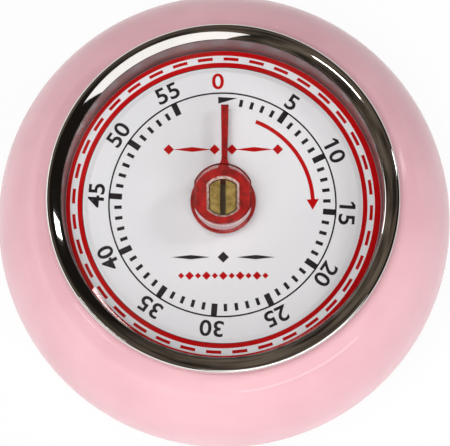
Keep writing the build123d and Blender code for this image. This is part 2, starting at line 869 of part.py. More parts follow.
def pallet_pins():
    low_z = escape_wheel_z - pallet_pin_drop
    return group(rod(pallet_pin_radius, low_z, anchor_z + anchor_sheet, at) for at in pallet_points())


def balance_bar():
    half = polar(balance_length / 2, balance_direction)
    outline = bar(anchor_centre - half, anchor_centre + half, balance_width)
    outline = outline + disc(anchor_hub_radius, anchor_centre)
    for end in (anchor_centre - half, anchor_centre + half):
        outline = outline + disc(balance_weight_radius, end)
    outline = outline - disc(staff_radius + press_gap, anchor_centre)
    return slab(outline, balance_z, balance_z + balance_sheet)


# Strike work: star on the third arbor, hammer on its own arbor, bell behind the back plate
def strike_star():
    first_angle = bearing(third_centre, hammer_centre) + half_turn / star_teeth
    outline = toothed(star_teeth, star_tip_radius, star_root_radius, star_tip_degrees, star_root_degrees,
                      first_angle, third_centre)
    outline = outline - disc(staff_radius + press_gap, third_centre)
    return slab(outline, star_z, star_z + star_sheet)


def hammer_arbor():
    return rod(staff_radius, hammer_arm_z, cam_z + cam_sheet, hammer_centre)


def hammer_head_centre():
    reach = bell_radius + hammer_strike_gap + hammer_head_radius
    return polar(reach, hammer_head_direction)


def hammer_lever(tip, width, bottom, thickness):
    """Flat lever on the hammer's arbor, with a round hub."""
    outline = bar(hammer_centre, tip, width) + disc(hammer_hub_radius, hammer_centre)
    outline = outline - disc(staff_radius + press_gap, hammer_centre)
    return slab(outline, bottom, bottom + thickness)


def hammer_arm():
    arm = hammer_lever(hammer_head_centre(), hammer_arm_width, hammer_arm_z, hammer_arm_sheet)
    stud_radius = hammer_arm_width / 4 + press_gap
    return arm - bore(stud_radius, hammer_arm_z, hammer_arm_z + hammer_arm_sheet, hammer_head_centre())


def hammer_head():
    head = rod(hammer_head_radius, hammer_arm_z - hammer_head_height, hammer_arm_z, hammer_head_centre())
    head = fillet(head.edges().filter_by(GeomType.CIRCLE), edge_round)
    stud_radius = hammer_arm_width / 4
    return head + rod(stud_radius, hammer_arm_z, hammer_arm_z + hammer_arm_sheet, hammer_head_centre())


def hammer_tail():
    way = (third_centre - hammer_centre).normalized()
    reach = (third_centre - hammer_centre).length - star_tip_radius - tail_gap - tail_width / 2
    return hammer_lever(hammer_centre + way * reach, tail_width, star_z, star_sheet)


def hammer_finger():
    tip = polar(cam_radius + finger_gap + finger_width / 2, finger_direction)
    return hammer_lever(tip, finger_width, cam_z, cam_sheet)


def bell():
    arc_radius = ((bell_radius - bell_flat_radius) ** 2 + bell_depth ** 2) / (2 * bell_depth)
    arc_middle_z = bell_z + arc_radius
    inner_arc_radius = arc_radius - bell_sheet
    rim_reach = arc_rise(inner_arc_radius, arc_middle_z - bell_rim_z)
    arc_middle = (bell_flat_radius, arc_middle_z)
    flat = (bell_flat_radius, bell_z)
    inner_flat = (bell_flat_radius, bell_z + bell_sheet)
    rim = (bell_radius, bell_rim_z)
    inner_rim = (bell_flat_radius + rim_reach, bell_rim_z)
    hole_radius = cover_screw_radius + screw_clearance
    path = [
        Line((hole_radius, bell_z), flat),
        arc_about(arc_middle, flat, rim),
        Line(rim, inner_rim),
        arc_about(arc_middle, inner_rim, inner_flat),
        Line(inner_flat, (hole_radius, bell_z + bell_sheet)),
        Line((hole_radius, bell_z + bell_sheet), (hole_radius, bell_z)),
    ]
    return turned(path)


def bell_post():
    seat_z = bell_z + bell_sheet
    piece = rod(bell_post_radius, seat_z, back_plate_under_z)
    piece += rod(bell_flat_radius, back_plate_under_z - bell_post_flange, back_plate_under_z)
    hole_radius = cover_screw_radius + screw_clearance
    return piece - rod(hole_radius, seat_z - overrun, seat_z + screw_grip + screw_clearance)


def bell_screw():
    tip_z = bell_z + bell_sheet + screw_grip
    head = (cover_screw_head_radius, screw_head_height)
    return slotted_screw(cover_screw_radius, *head, bell_z, tip_z, centre)


# Back cover with its foot ring, magnet cups, screw seats and sound slots
def back_cover():
    cover_radius = base_corner_radius - cover_edge_inset
    foot = tube(cover_radius, cover_spigot_radius - cover_foot_lap, 0, base_flange_z)
    cover = rod(cover_spigot_radius, cover_recess, cover_inner_z) + foot
    spigot_inner = cover_spigot_radius - cover_spigot_wall
    cover += tube(cover_spigot_radius, spigot_inner, cover_inner_z, cover_inner_z + cover_spigot_height)
    cup_radius = magnet_radius + magnet_gap + magnet_cup_wall
    for at in magnet_points:
        cover += rod(cup_radius, cover_recess, magnet_cup_z + magnet_cup_floor, at)
        cover -= rod(magnet_radius + magnet_gap, -overrun, magnet_cup_z, at)
    seat_z = cover_screw_seat_z()
    for at in post_points:
        cover += rod(cover_screw_head_radius + cover_plate, 0, cover_inner_z, at)
        cover -= bore(cover_screw_radius + screw_clearance, 0, cover_inner_z, at)
        cover -= rod(cover_screw_head_radius + cover_screw_seat_gap, -overrun, seat_z, at)
    first_y = slot_row_y - slot_spacing * (slot_count - 1) / 2
    for slot in range(slot_count):
        outline = Pos(0, first_y + slot * slot_spacing) * SlotOverall(slot_length, slot_width)
        cover -= slab(outline, -overrun, cover_inner_z + overrun)
    return cover


def cover_screw_seat_z():
    return cover_screw_head_height + cover_screw_seat_gap


def magnets():
    return group(rod(magnet_radius, 0, magnet_thickness, at) for at in magnet_points)


def cover_posts():
    solids = []
    hole_top_z = cover_screw_seat_z() + cover_screw_length + screw_clearance
    for at in post_points:
        post = rod(post_radius, cover_inner_z, back_plate_under_z, at)
        post += rod(cover_screw_radius, back_plate_under_z, back_plate_z, at)
        post += rod(cover_screw_radius + post_rivet_head, back_plate_z, back_plate_z + post_rivet_head, at)
        hole_radius = cover_screw_radius + screw_clearance
        solids.append(post - rod(hole_radius, cover_inner_z - overrun, hole_top_z, at))
    return group(solids)


def cover_screws():
    seat_z = cover_screw_seat_z()
    head = (cover_screw_head_radius, cover_screw_head_height)
    span = (seat_z, seat_z + cover_screw_length)
    return group(slotted_screw(cover_screw_radius, *head, *span, at) for at in post_points)


pieces = {
    "case_shell": case_shell,
    "setting_ring": setting_ring,
    "lens": lens,
    "dial_plate": dial_plate,
    "hand": hand,
    "main_arbor": main_arbor,
    "front_plate": front_plate,
    "back_plate": back_plate,
    "pillars": pillars,
    "pillar_screws": pillar_screws,
    "movement_spacers": movement_spacers,
    "movement_screws": movement_screws,
    "front_bush": front_bush,
    "mainspring": mainspring,
    "spring_post": spring_post,
    "stop_cam": stop_cam,
    "stop_pin": stop_pin,
    "main_wheel": main_wheel,
    "ratchet_wheel": ratchet_wheel,
    "click": click,
    "click_rivet": click_rivet,
    "click_spring": click_spring,
    "second_arbor": second_arbor,
    "second_wheel": second_wheel,
    "third_arbor": third_arbor,
    "third_wheel": third_wheel,
    "escape_arbor": escape_arbor,
    "escape_wheel": escape_wheel,
    "anchor_arbor": anchor_arbor,
    "anchor": anchor,
    "pallet_pins": pallet_pins,
    "balance_bar": balance_bar,
    "strike_star": strike_star,
    "hammer_arbor": hammer_arbor,
    "hammer_arm": hammer_arm,
    "hammer_head": hammer_head,
    "hammer_tail": hammer_tail,
    "hammer_finger": hammer_finger,
    "bell": bell,
    "bell_post": bell_post,
    "bell_screw": bell_screw,
    "back_cover": back_cover,
    "magnets": magnets,
    "cover_posts": cover_posts,
    "cover_screws": cover_screws,
}

os.makedirs("parts", exist_ok=True)
for name, make in pieces.items():
    export_step(make(), os.path.join("parts", name + ".step"))
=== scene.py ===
"""Dresses a wind-up kitchen timer: its visible pieces, finishes, lamps, floor and camera."""
import json
import math

import bmesh
import bpy
from bpy.props import FloatProperty, FloatVectorProperty, IntProperty, PointerProperty
from mathutils import Matrix, Vector


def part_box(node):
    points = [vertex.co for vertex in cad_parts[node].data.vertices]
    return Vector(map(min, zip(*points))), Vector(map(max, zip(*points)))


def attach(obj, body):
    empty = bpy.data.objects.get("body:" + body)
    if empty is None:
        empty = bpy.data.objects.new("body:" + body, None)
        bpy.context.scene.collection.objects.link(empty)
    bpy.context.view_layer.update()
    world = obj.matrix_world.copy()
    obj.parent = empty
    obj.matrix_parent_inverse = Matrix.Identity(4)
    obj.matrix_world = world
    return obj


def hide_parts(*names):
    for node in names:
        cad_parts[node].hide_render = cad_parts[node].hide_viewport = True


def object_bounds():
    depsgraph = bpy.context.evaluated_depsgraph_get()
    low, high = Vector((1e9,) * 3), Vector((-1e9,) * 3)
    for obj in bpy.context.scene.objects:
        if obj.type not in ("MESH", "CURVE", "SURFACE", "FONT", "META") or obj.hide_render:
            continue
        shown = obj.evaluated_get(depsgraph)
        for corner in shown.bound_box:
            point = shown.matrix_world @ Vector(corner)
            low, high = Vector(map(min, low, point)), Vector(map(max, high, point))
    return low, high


bl_info = {
    "name": "Kitchen timer",
    "version": (1, 0, 0),
    "blender": (4, 5, 0),
    "location": "View3D > Sidebar > Timer",
    "description": "Dresses a wind-up kitchen timer and sets its stage",
    "category": "Object",
}

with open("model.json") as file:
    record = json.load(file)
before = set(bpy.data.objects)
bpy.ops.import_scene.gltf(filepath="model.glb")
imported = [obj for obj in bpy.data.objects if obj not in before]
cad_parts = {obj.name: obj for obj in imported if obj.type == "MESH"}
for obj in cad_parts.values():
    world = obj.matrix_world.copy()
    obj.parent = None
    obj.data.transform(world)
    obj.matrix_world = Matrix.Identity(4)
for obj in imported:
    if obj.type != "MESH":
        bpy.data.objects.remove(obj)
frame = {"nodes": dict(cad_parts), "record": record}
cad_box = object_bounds()

# Mesh fineness
turn_steps = 256
dome_rings = turn_steps // 4
crown_steps = 72
inside_steps = 48
hub_steps = 96
crest_steps = 28
slope_steps = 24
flat_side_steps = 24
arc_steps = 20
hollow_steps = 10
foot_steps = 8
corner_steps = 6
lip_steps = 4
numeral_steps = 6
bevel_steps = 3
band_step_degrees = 1.5
weld_distance = 1e-8
smooth_angle = math.radians(32)

# Power of the radius by which the lens falls from its crown
dome_power = 2.5

# The dial's scale in minutes and degrees
last_minute = 55
numeral_minutes = 5
minute_degrees = 6

# Broad mottle against fine grain, and how far mottle, marks and specks change a finish
coat_mottle_ratio = 14
metal_mottle_ratio = 4
metal_grain_ratio = 2
smooth_share = 0.88
rough_share = 1.15
marked_share = 2.2
marked_extra = 0.03
speck_shade = 0.55


def linear(red, green, blue):
    """Screen colour from 0 to 255 as the linear colour that shaders take."""
    shares = [part / 255 for part in (red, green, blue)]
    return tuple(s / 12.92 if s <= 0.04045 else ((s + 0.055) / 1.055) ** 2.4 for s in shares)


def size(name, default, description):
    """Property that holds a length in metres."""
    return FloatProperty(name=name, description=description, default=default, precision=5,
                         subtype="DISTANCE", unit="LENGTH")


def angle(name, degrees, description):
    """Property that holds an angle, given here in degrees."""
    return FloatProperty(name=name, description=description, default=math.radians(degrees),
                         subtype="ANGLE", unit="ROTATION")


def millimetres(name, default, description):
    """Property that holds one of the camera's own lengths."""
    return FloatProperty(name=name, description=description, default=default,
                         subtype="DISTANCE_CAMERA", unit="CAMERA")


def factor(name, default, description):
    """Property that holds a plain multiple."""
    return FloatProperty(name=name, description=description, default=default, subtype="FACTOR")


def colour(name, red, green, blue, description):
    """Property that holds a colour, given here as it looks on a screen."""
    return FloatVectorProperty(name=name, description=description, default=linear(red, green, blue),
                               size=3, min=0.0, max=1.0, subtype="COLOR")


# Sizes and colours that a user would change
class TimerCase(bpy.types.PropertyGroup):
    """Painted steel shell."""
    paint: colour("Paint", 232, 184, 192, "Colour of the stove enamel")
    paint_shade: colour("Paint shade", 224, 174, 183, "Enamel where the coat is thinner")
    widest_height: size("Widest height", 0.012, "Height at which the shell is widest")
    sheet: size("Sheet", 0.0008, "Thickness of the steel sheet")
    rim_radius: size("Rim radius", 0.0274, "Outer radius of the hemmed rim")
    rim_round: size("Rim round", 0.00025, "Rounding of the rim's two edges")
    neck_height: size("Neck height", 0.0012, "Height of the neck under the ring")
    gutter_radius: size("Gutter radius", 0.0005, "Hollow between shoulder and neck")
    base_corner_radius: size("Base corner radius", 0.03131, "Radius at which the base turns under")
    base_opening_radius: size("Base opening radius", 0.0285, "Radius of the opening in the base")
    well_radius: size("Well radius", 0.0258, "Radius of the well that holds the dial")
    well_taper: size("Well taper", 0.00035, "Lean of the well's wall towards the dial")
    well_floor_width: size("Well floor width", 0.0058, "Width of the flange under the dial")


class TimerRing(bpy.types.PropertyGroup):
    """Chromed setting ring."""
    chrome: colour("Chrome", 214, 211, 207, "Colour of the chrome plate")
    wall: size("Wall", 0.0005, "Thickness of the skirt")
    inner_radius: size("Inner radius", 0.02575, "Radius of the ring's inner edge")
    edge_round: size("Edge round", 0.0005, "Rounding of the outer edge")
    crest_lean: angle("Crest lean", 18, "Lean of the surface where the slope begins")
    slope_drop: size("Slope drop", 0.00095, "Fall of the slope from the crest to the lens")
    crest_rise: size("Crest rise", 0.00168, "Height of the crest over the channel's ceiling")
    lip_round: size("Lip round", 0.00012, "Rounding of the lips")


class TimerLens(bpy.types.PropertyGroup):
    """Clear domed lens with the socket that turns the hand."""
    wall: size("Wall", 0.0005, "Thickness of the lens")
    shoulder_radius: size("Shoulder radius", 0.00012, "Rounding of the dome's edge")
    crown_rise: size("Crown rise", 0.0034, "Rise of the dome over its edge")
    # The rim's width carries the painted shade of the lens rim.
    ground_width: size("Ground width", 0.00012, "Width of the lens's ground edge")
    socket_gap: size("Socket gap", -0.00002, "Clearance round the hand's boss, pressed on")
    socket_wall: size("Socket wall", 0.00027, "Thickness of the socket")
    socket_lift: size("Socket lift", 0.0007, "Height of the socket's end over the hand")


class TimerDial(bpy.types.PropertyGroup):
    """Enamelled dial plate."""
    enamel: colour("Enamel", 243, 243, 246, "Colour of the dial")
    enamel_shade: colour("Enamel shade", 239, 239, 243, "Faint mottle of the dial")
    sheet: size("Sheet", 0.0005, "Thickness of the dial plate")
    red_edge: size("Red edge", 0.0003, "Width of the plate's own red edge")
    border_width: size("Border width", 0.003, "Width of the printed border")
    roll_width: size("Roll width", 0.0011, "Width of the rolled edge between face and border")
    hole_radius: size("Hole radius", 0.0036, "Radius of the hole for the arbor")


class TimerPrint(bpy.types.PropertyGroup):
    """Print on the dial."""
    red_ink: colour("Red ink", 196, 6, 12, "Colour of the border, arrow and zero")
    black_ink: colour("Black ink", 32, 28, 32, "Colour of the scale and numerals")
    ink: size("Ink", 0.00002, "Thickness of the print")
    turn: angle("Turn", 1.66, "Turn of the print against the case")
    left: size("Left", 0.00014, "Shift of the print to the left")
    up: size("Up", 0.00004, "Shift of the print towards 0")
    # The border's black line is painted shade at the foot of the dial's rolled edge.
    border_line_radius: size("Border line radius", 0.02248, "Inner radius of the border's black line")
    inner_band_radius: size("Inner band radius", 0.02258, "Inner radius of the border's inner band")
    inner_band_width: size("Inner band width", 0.00074, "Width of the border's inner band")
    outer_band_radius: size("Outer band radius", 0.0245, "Inner radius of the border's outer band")
    dash_count: IntProperty(name="Dashes", description="Dashes round the border", default=36, min=3)
    dash_radius: size("Dash radius", 0.0237, "Inner radius of the dashes")
    dash_width: size("Dash width", 0.00051, "Width of the dashes")
    dash_reach: angle("Dash reach", 2.9, "Half of the angle that a dash covers")
    circle_radius: size("Circle radius", 0.01812, "Inner radius of the scale's circle")
    circle_width: size("Circle width", 0.00026, "Width of the scale's circle")
    tick_foot: size("Tick foot", 0.0162, "Inner end of the minute marks")
    tick_head: size("Tick head", 0.0174, "Outer end of the minute marks")
    tick_width: size("Tick width", 0.00055, "Width of the minute marks")
    long_tick_head: size("Long tick head", 0.0183, "Outer end of the marks at the numerals")
    long_tick_width: size("Long tick width", 0.00095, "Width of the marks at the numerals")
    wedge_head: size("Wedge head", 0.01762, "Outer end of the wedge at 0")
    wedge_foot: size("Wedge foot", 0.01652, "Inner end of the wedge at 0")
    wedge_tip: size("Wedge tip", 0.0176, "Distance of the wedge's tip from the centre")
    wedge_start: angle("Wedge start", -0.6, "Dial angle of the wedge's blunt end")
    wedge_end: angle("Wedge end", 9.7, "Dial angle of the wedge's tip")
    arrow_radius: size("Arrow radius", 0.01455, "Distance of the arrow from the centre")
    arrow_width: size("Arrow width", 0.00064, "Width of the arrow's shaft")
    arrow_head_width: size("Arrow head width", 0.002, "Width of the arrow's head")
    arrow_start: angle("Arrow start", 23.4, "Dial angle of the arrow's end")
    arrow_neck: angle("Arrow neck", 88.6, "Dial angle at which the arrow's head begins")
    arrow_tip: angle("Arrow tip", 95.4, "Dial angle of the arrow's tip")
    numeral_height: size("Numeral height", 0.00262, "Height of the numerals")
    numeral_width: factor("Numeral width", 1.13, "Stretch of the numerals")
    numeral_left: size("Numeral left", 0.00014, "Further shift of the numerals to the left")
    numeral_radius: size("Numeral radius", 0.0202, "Distance of the numerals from the centre")


class TimerHand(bpy.types.PropertyGroup):
    """Red hand with its boss."""
    paint: colour("Paint", 188, 18, 18, "Colour of the hand")
    paint_shade: colour("Paint shade", 118, 6, 10, "Colour of the hand where it is thicker")
    width: size("Width", 0.00095, "Width of the blade")
    tip_width: size("Tip width", 0.00125, "Width of the blade at its tip")
    root_round: size("Root round", 0.0028, "Rounding where the blade meets the hub")
    lean: angle("Lean", 0.4, "Lean of the blade to the right")
    blade_right: size("Blade right", 0.0002, "Step of the blade to the right of the hub's middle")
    sheet: size("Sheet", 0.0008, "Thickness of the blade")
    boss_radius: size("Boss radius", 0.0047, "Radius of the boss")
    boss_flats: size("Boss flats", 0.0085, "Distance between the boss's flats")
    boss_foot: size("Boss foot", 0.00045, "Hollow rounding where the boss meets the hub")
    mouth_radius: size("Mouth radius", 0.0029, "Radius of the hole's mouth")
    mouth_flats: size("Mouth flats", 0.00432, "Distance between the mouth's flats")
    # The chamfer carries the painted highlight round the hole's mouth.
    mouth_chamfer: size("Mouth chamfer", 0.00038, "Worn edge round the hole's mouth")
    arbor_flats: size("Arbor flats", 0.00405, "Distance between the arbor's flats")
    hole_gap: size("Hole gap", 0.00006, "Clearance round the arbor in the hub")
    edge: size("Edge", 0.00014, "Rounding of the edges")


class TimerStage(bpy.types.PropertyGroup):
    """Floor, lamps and camera."""
    floor: colour("Floor", 250, 250, 250, "Colour of the floor")
    floor_half: size("Floor half", 3.0, "Half of the floor's width")
    floor_glow: factor("Floor glow", 0.92, "Share of plain white in the floor as it is seen")
    lamp_distance: size("Lamp distance", 0.75, "Distance of the lamps from the dial")
    camera_distance: size("Camera distance", 0.494, "Distance of the camera from the case's widest place")
    camera_lens: millimetres("Camera lens", 236.9, "Focal length")
    camera_sensor: millimetres("Camera sensor", 36.0, "Width of the sensor")
    camera_lean: angle("Camera lean", 9.8, "Lean of the view away from straight down")
    camera_side: size("Camera side step", 0.004, "Step of the camera to the right")
    aim_right: size("Aim right", 0.000135, "Step of the view's middle to the right of the axis")
    aim_up: size("Aim up", -0.00006, "Step of the view's middle from the axis towards 0")


# Points of turned outlines, as radius and height
def ellipse(middle, run, rise, start, end, steps):
    """Part of an ellipse between two angles in degrees from the outward way."""
    turns = [math.radians(start + (end - start) * step / steps) for step in range(steps + 1)]
    return [(middle[0] + run * math.cos(t), middle[1] + rise * math.sin(t)) for t in turns]


def arc(middle, radius, start, end, steps=arc_steps):
    """Arc between two angles in degrees from the outward way."""
    return ellipse(middle, radius, radius, start, end, steps)


def upright_arc_radius(run, rise):
    """Radius of an arc that starts upright and then covers a run and a rise."""
    return (run ** 2 + rise ** 2) / (2 * run)


# Meshes
def keep_mesh(plot, name):
    """Turns a finished plot into an object."""
    bmesh.ops.remove_doubles(plot, verts=plot.verts, dist=weld_distance)
    bmesh.ops.recalc_face_normals(plot, faces=plot.faces)
    mesh = bpy.data.meshes.new(name)
    plot.to_mesh(mesh)
    plot.free()
    return keep_object(mesh, name)


def keep_object(mesh, name):
    """Object in the scene that is smooth, with its sharp edges kept."""
    for face in mesh.polygons:
        face.use_smooth = True
    mesh.set_sharp_from_angle(angle=smooth_angle)
    thing = bpy.data.objects.new(name, mesh)
    bpy.context.scene.collection.objects.link(thing)
    return thing


def loft(plot, loops):
    """Skin over a row of loops of equal count, closed along the loops and along the row."""
    rows = [[plot.verts.new(point) for point in loop] for loop in loops]
    for low, high in zip(rows, rows[1:] + rows[:1]):
        count = len(low)
        for step in range(count):
            after = (step + 1) % count
            plot.faces.new((low[step], low[after], high[after], high[step]))


def lathe(name, outline):
    """Closed outline of radius and height, turned about the dial's axis."""
    plot = bmesh.new()
    turns = [math.tau * step / turn_steps for step in range(turn_steps)]
    loft(plot, [[(r * math.cos(t), r * math.sin(t), height) for t in turns] for r, height in outline])
    return keep_mesh(plot, name)


def prism(plot, outline, low, high):
    """Flat outline raised between two heights."""
    floor = [plot.verts.new((x, y, low)) for x, y in outline]
    roof = [plot.verts.new((x, y, high)) for x, y in outline]
    plot.faces.new(floor)
    plot.faces.new(roof)
    count = len(outline)
    for step in range(count):
        after = (step + 1) % count
        plot.faces.new((floor[step], floor[after], roof[after], roof[step]))


def double_d(radius, flats, height):
    """Loop of a round outline with flats facing left and right."""
    corner = math.acos(flats / 2 / radius)
    loop = []
    for first, last in ((corner, math.pi - corner), (math.pi + corner, math.tau - corner)):
        turns = [first + (last - first) * step / flat_side_steps for step in range(flat_side_steps + 1)]
        loop += [(radius * math.cos(t), radius * math.sin(t), height) for t in turns]
    return loop


def cut_or_join(first, second, operation, name):
    """One closed piece made of two."""
    step = first.modifiers.new("second", "BOOLEAN")
    step.operation = operation
    step.solver = "EXACT"
    step.object = second
    graph = bpy.context.evaluated_depsgraph_get()
    mesh = bpy.data.meshes.new_from_object(first.evaluated_get(graph))
    for thing in (first, second):
        bpy.data.objects.remove(thing)
    return keep_object(mesh, name)


def soften(thing, width):
    """Rounds a piece's sharp edges."""
    bevel = thing.modifiers.new("edges", "BEVEL")
    bevel.width = width
    bevel.segments = bevel_steps
    bevel.limit_method = "ANGLE"
    bevel.angle_limit = smooth_angle
    bevel.harden_normals = True
    return thing


def settle(thing, body, slot, finish, *nodes):
    """Puts a piece on its body with its finish, in place of the nodes it stands for."""
    thing.data.materials.clear()
    thing.data.materials.append(finish)
    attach(thing, body)
    if nodes:
        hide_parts(*nodes)
    return thing


def finish_faces(thing, finish, chosen):
    """Second finish on the faces whose middle passes a test."""
    thing.data.materials.append(finish)
    for face in thing.data.polygons:
        if chosen(face.center):
            face.material_index = 1


# Shader nodes
def put(tree, kind, values=None, **settings):
    """New node with its settings and the values of its sockets."""
    node = tree.nodes.new(kind)
    for name, value in settings.items():
        setattr(node, name, value)
    for name, value in (values or {}).items():
        node.inputs[name].default_value = value
    return node


def feed(tree, value, socket):
    """Links an output to a socket, or sets a number or colour on it."""
    if hasattr(value, "is_linked"):
        tree.links.new(value, socket)
    else:
        socket.default_value = value


def reckon(tree, operation, first, second):
    """Value worked out from two values."""
    node = put(tree, "ShaderNodeMath", operation=operation)
    feed(tree, first, node.inputs[0])
    feed(tree, second, node.inputs[1])
    return node.outputs["Value"]


def share(tree, value, low, high, **settings):
    """Mask that goes from 0 to 1 while a value goes from low to high."""
    node = put(tree, "ShaderNodeMapRange", **settings)
    feed(tree, value, node.inputs["Value"])
    feed(tree, low, node.inputs["From Min"])
    feed(tree, high, node.inputs["From Max"])
    return node.outputs["Result"]


def between(tree, mask, low, high):
    """Value that goes from low to high with a mask."""
    spread = put(tree, "ShaderNodeMapRange", {"To Min": low, "To Max": high})
    tree.links.new(mask, spread.inputs["Value"])
    return spread.outputs["Result"]


def tint(tree, mask, first, second):
    """Colour that goes from first to second with a mask."""
    mix = put(tree, "ShaderNodeMix", data_type="RGBA")
    for slot, value in ((6, first), (7, second)):
        feed(tree, value if hasattr(value, "is_linked") else (*value, 1.0), mix.inputs[slot])
    tree.links.new(mask, mix.inputs[0])
    return mix.outputs[2]


def emboss(tree, shader, height, depth):
    """Fine relief on a shader's normal."""
    bump = put(tree, "ShaderNodeBump", {"Strength": 1.0, "Distance": depth})
    tree.links.new(height, bump.inputs["Height"])
    tree.links.new(bump.outputs["Normal"], shader.inputs["Normal"])


def blend_surface(tree, mask, first, second):
    """Surface that goes from one shader to another with a mask."""
    blend = put(tree, "ShaderNodeMixShader")
    for place, value in enumerate((mask, first, second)):
        tree.links.new(value, blend.inputs[place])
    tree.links.new(blend.outputs["Shader"], tree.nodes["Material Output"].inputs["Surface"])


# Effects that several finishes share
def new_group(name, inputs, outputs):
    """Empty shader group with named sockets, its two end nodes and the place on the piece."""
    group = bpy.data.node_groups.new(name, "ShaderNodeTree")
    for socket, default in inputs.items():
        made = group.interface.new_socket(name=socket, in_out="INPUT", socket_type="NodeSocketFloat")
        made.default_value = default
    for socket in outputs:
        group.interface.new_socket(name=socket, in_out="OUTPUT", socket_type="NodeSocketFloat")
    start = group.nodes.new("NodeGroupInput")
    end = group.nodes.new("NodeGroupOutput")
    return group, start.outputs, end.inputs, put(group, "ShaderNodeTexCoord").outputs["Object"]


def surface_grain_group():
    """Fine unevenness of a coat or a moulded face, and a broad mottle."""
    name = "Surface grain"
    if name in bpy.data.node_groups:
        return bpy.data.node_groups[name]
    sockets = {"Fine scale": 900.0, "Broad scale": 60.0}
    group, start, end, place = new_group(name, sockets, ("Height", "Mottle"))
    fine = put(group, "ShaderNodeTexNoise", {"Detail": 2.0, "Roughness": 0.45})
    broad = put(group, "ShaderNodeTexNoise", {"Detail": 3.0, "Roughness": 0.5})
    for noise, socket in ((fine, "Fine scale"), (broad, "Broad scale")):
        group.links.new(place, noise.inputs["Vector"])
        group.links.new(start[socket], noise.inputs["Scale"])
    group.links.new(fine.outputs["Fac"], end["Height"])
    group.links.new(share(group, broad.outputs["Fac"], low=0.3, high=0.7), end["Mottle"])
    return group


def fine_scratches_group():
    """Thin marks in two directions on polished or machined metal."""
    name = "Fine scratches"
    if name in bpy.data.node_groups:
        return bpy.data.node_groups[name]
    group, start, end, place = new_group(name, {"Scale": 300.0, "Sharpness": 0.62}, ("Marks", "Height"))
    layers = []
    for turn, stretch in ((0.5, (1.0, 0.06, 1.0)), (-1.1, (0.07, 1.0, 1.0))):
        lay = put(group, "ShaderNodeMapping", {"Rotation": (0.2, 0.1, turn), "Scale": stretch})
        noise = put(group, "ShaderNodeTexNoise", {"Detail": 4.0, "Roughness": 0.7})
        group.links.new(place, lay.inputs["Vector"])
        group.links.new(lay.outputs["Vector"], noise.inputs["Vector"])
        group.links.new(start["Scale"], noise.inputs["Scale"])
        layers.append(noise.outputs["Fac"])
    height = reckon(group, "MAXIMUM", *layers)
    group.links.new(share(group, height, low=start["Sharpness"], high=0.8), end["Marks"])
    group.links.new(height, end["Height"])
    return group


def dust_specks_group():
    """Few small round specks."""
    name = "Dust specks"
    if name in bpy.data.node_groups:
        return bpy.data.node_groups[name]
    sockets = {"Scale": 260.0, "Radius": 0.05, "Share": 0.06}
    group, start, end, place = new_group(name, sockets, ("Specks",))
    cells = put(group, "ShaderNodeTexVoronoi", {"Randomness": 1.0})
    split = put(group, "ShaderNodeSeparateColor")
    group.links.new(place, cells.inputs["Vector"])
    group.links.new(start["Scale"], cells.inputs["Scale"])
    group.links.new(cells.outputs["Color"], split.inputs["Color"])
    near = reckon(group, "LESS_THAN", cells.outputs["Distance"], start["Radius"])
    chosen = reckon(group, "LESS_THAN", split.outputs["Red"], start["Share"])
    group.links.new(reckon(group, "MULTIPLY", near, chosen), end["Specks"])
    return group


def depth_shade_group():
    """Mask that grows from 0 at a top height to 1 at a depth below it."""
    name = "Depth shade"
    if name in bpy.data.node_groups:
        return bpy.data.node_groups[name]
    group, start, end, place = new_group(name, {"Top": 0.0, "Bottom": 0.0}, ("Mask",))
    split = put(group, "ShaderNodeSeparateXYZ")
    group.links.new(place, split.inputs["Vector"])
    group.links.new(share(group, split.outputs["Z"], start["Top"], start["Bottom"]), end["Mask"])
    return group


def fill_group(tree, group, values):
    """Shared effect placed in a material with its own values, as its outputs."""
    return put(tree, "ShaderNodeGroup", values, node_tree=group).outputs


# Finishes
def shaded(base, part):
    """Colour made darker or lighter."""
    return tuple(value * part for value in base)


def new_finish(name, **values):
    """Material with one Principled shader and its plain values."""
    finish = bpy.data.materials.new(name)
    finish.use_nodes = True
    shader = finish.node_tree.nodes["Principled BSDF"]
    for socket, value in values.items():
        shader.inputs[socket.replace("_", " ")].default_value = value
    return finish, finish.node_tree, shader


def coat_finish(name, light, dark, rough, scale, depth, **values):
    """Paint, ink or enamel: a faint mottle, a few specks and a slight unevenness."""
    if name in bpy.data.materials:
        return bpy.data.materials[name]
    finish, tree, shader = new_finish(name, **values)
    scales = {"Fine scale": scale, "Broad scale": scale / coat_mottle_ratio}
    grain = fill_group(tree, surface_grain_group(), scales)
    specks = fill_group(tree, dust_specks_group(), {"Scale": 330.0, "Radius": 0.045, "Share": 0.035})
    mottled = tint(tree, grain["Mottle"], light, dark)
    soiled = tint(tree, specks["Specks"], mottled, shaded(dark, speck_shade))
    uneven = between(tree, grain["Mottle"], rough * smooth_share, rough * rough_share)
    tree.links.new(soiled, shader.inputs["Base Color"])
    tree.links.new(uneven, shader.inputs["Roughness"])
    emboss(tree, shader, grain["Height"], depth)
    return finish


def metal_finish(name, light, dark, rough, scale, depth):
    """Metal with thin marks that dull it a little."""
    if name in bpy.data.materials:
        return bpy.data.materials[name]
    finish, tree, shader = new_finish(name, Metallic=1.0)
    scales = {"Fine scale": scale * metal_grain_ratio, "Broad scale": scale / metal_mottle_ratio}
    marks = fill_group(tree, fine_scratches_group(), {"Scale": scale})
    grain = fill_group(tree, surface_grain_group(), scales)
    dulled = between(tree, marks["Marks"], rough, rough * marked_share + marked_extra)
    tree.links.new(tint(tree, grain["Mottle"], light, dark), shader.inputs["Base Color"])
    tree.links.new(dulled, shader.inputs["Roughness"])
    emboss(tree, shader, marks["Height"], depth)
    return finish


def case_paint():
    look = bpy.context.scene.timer_case
    return coat_finish("stove_enamel", look.paint, look.paint_shade, rough=0.42, scale=1100.0,
                       depth=0.0000012, Specular_IOR_Level=0.05, Coat_Weight=0.45,
                       Coat_Roughness=0.06, Coat_IOR=1.42)
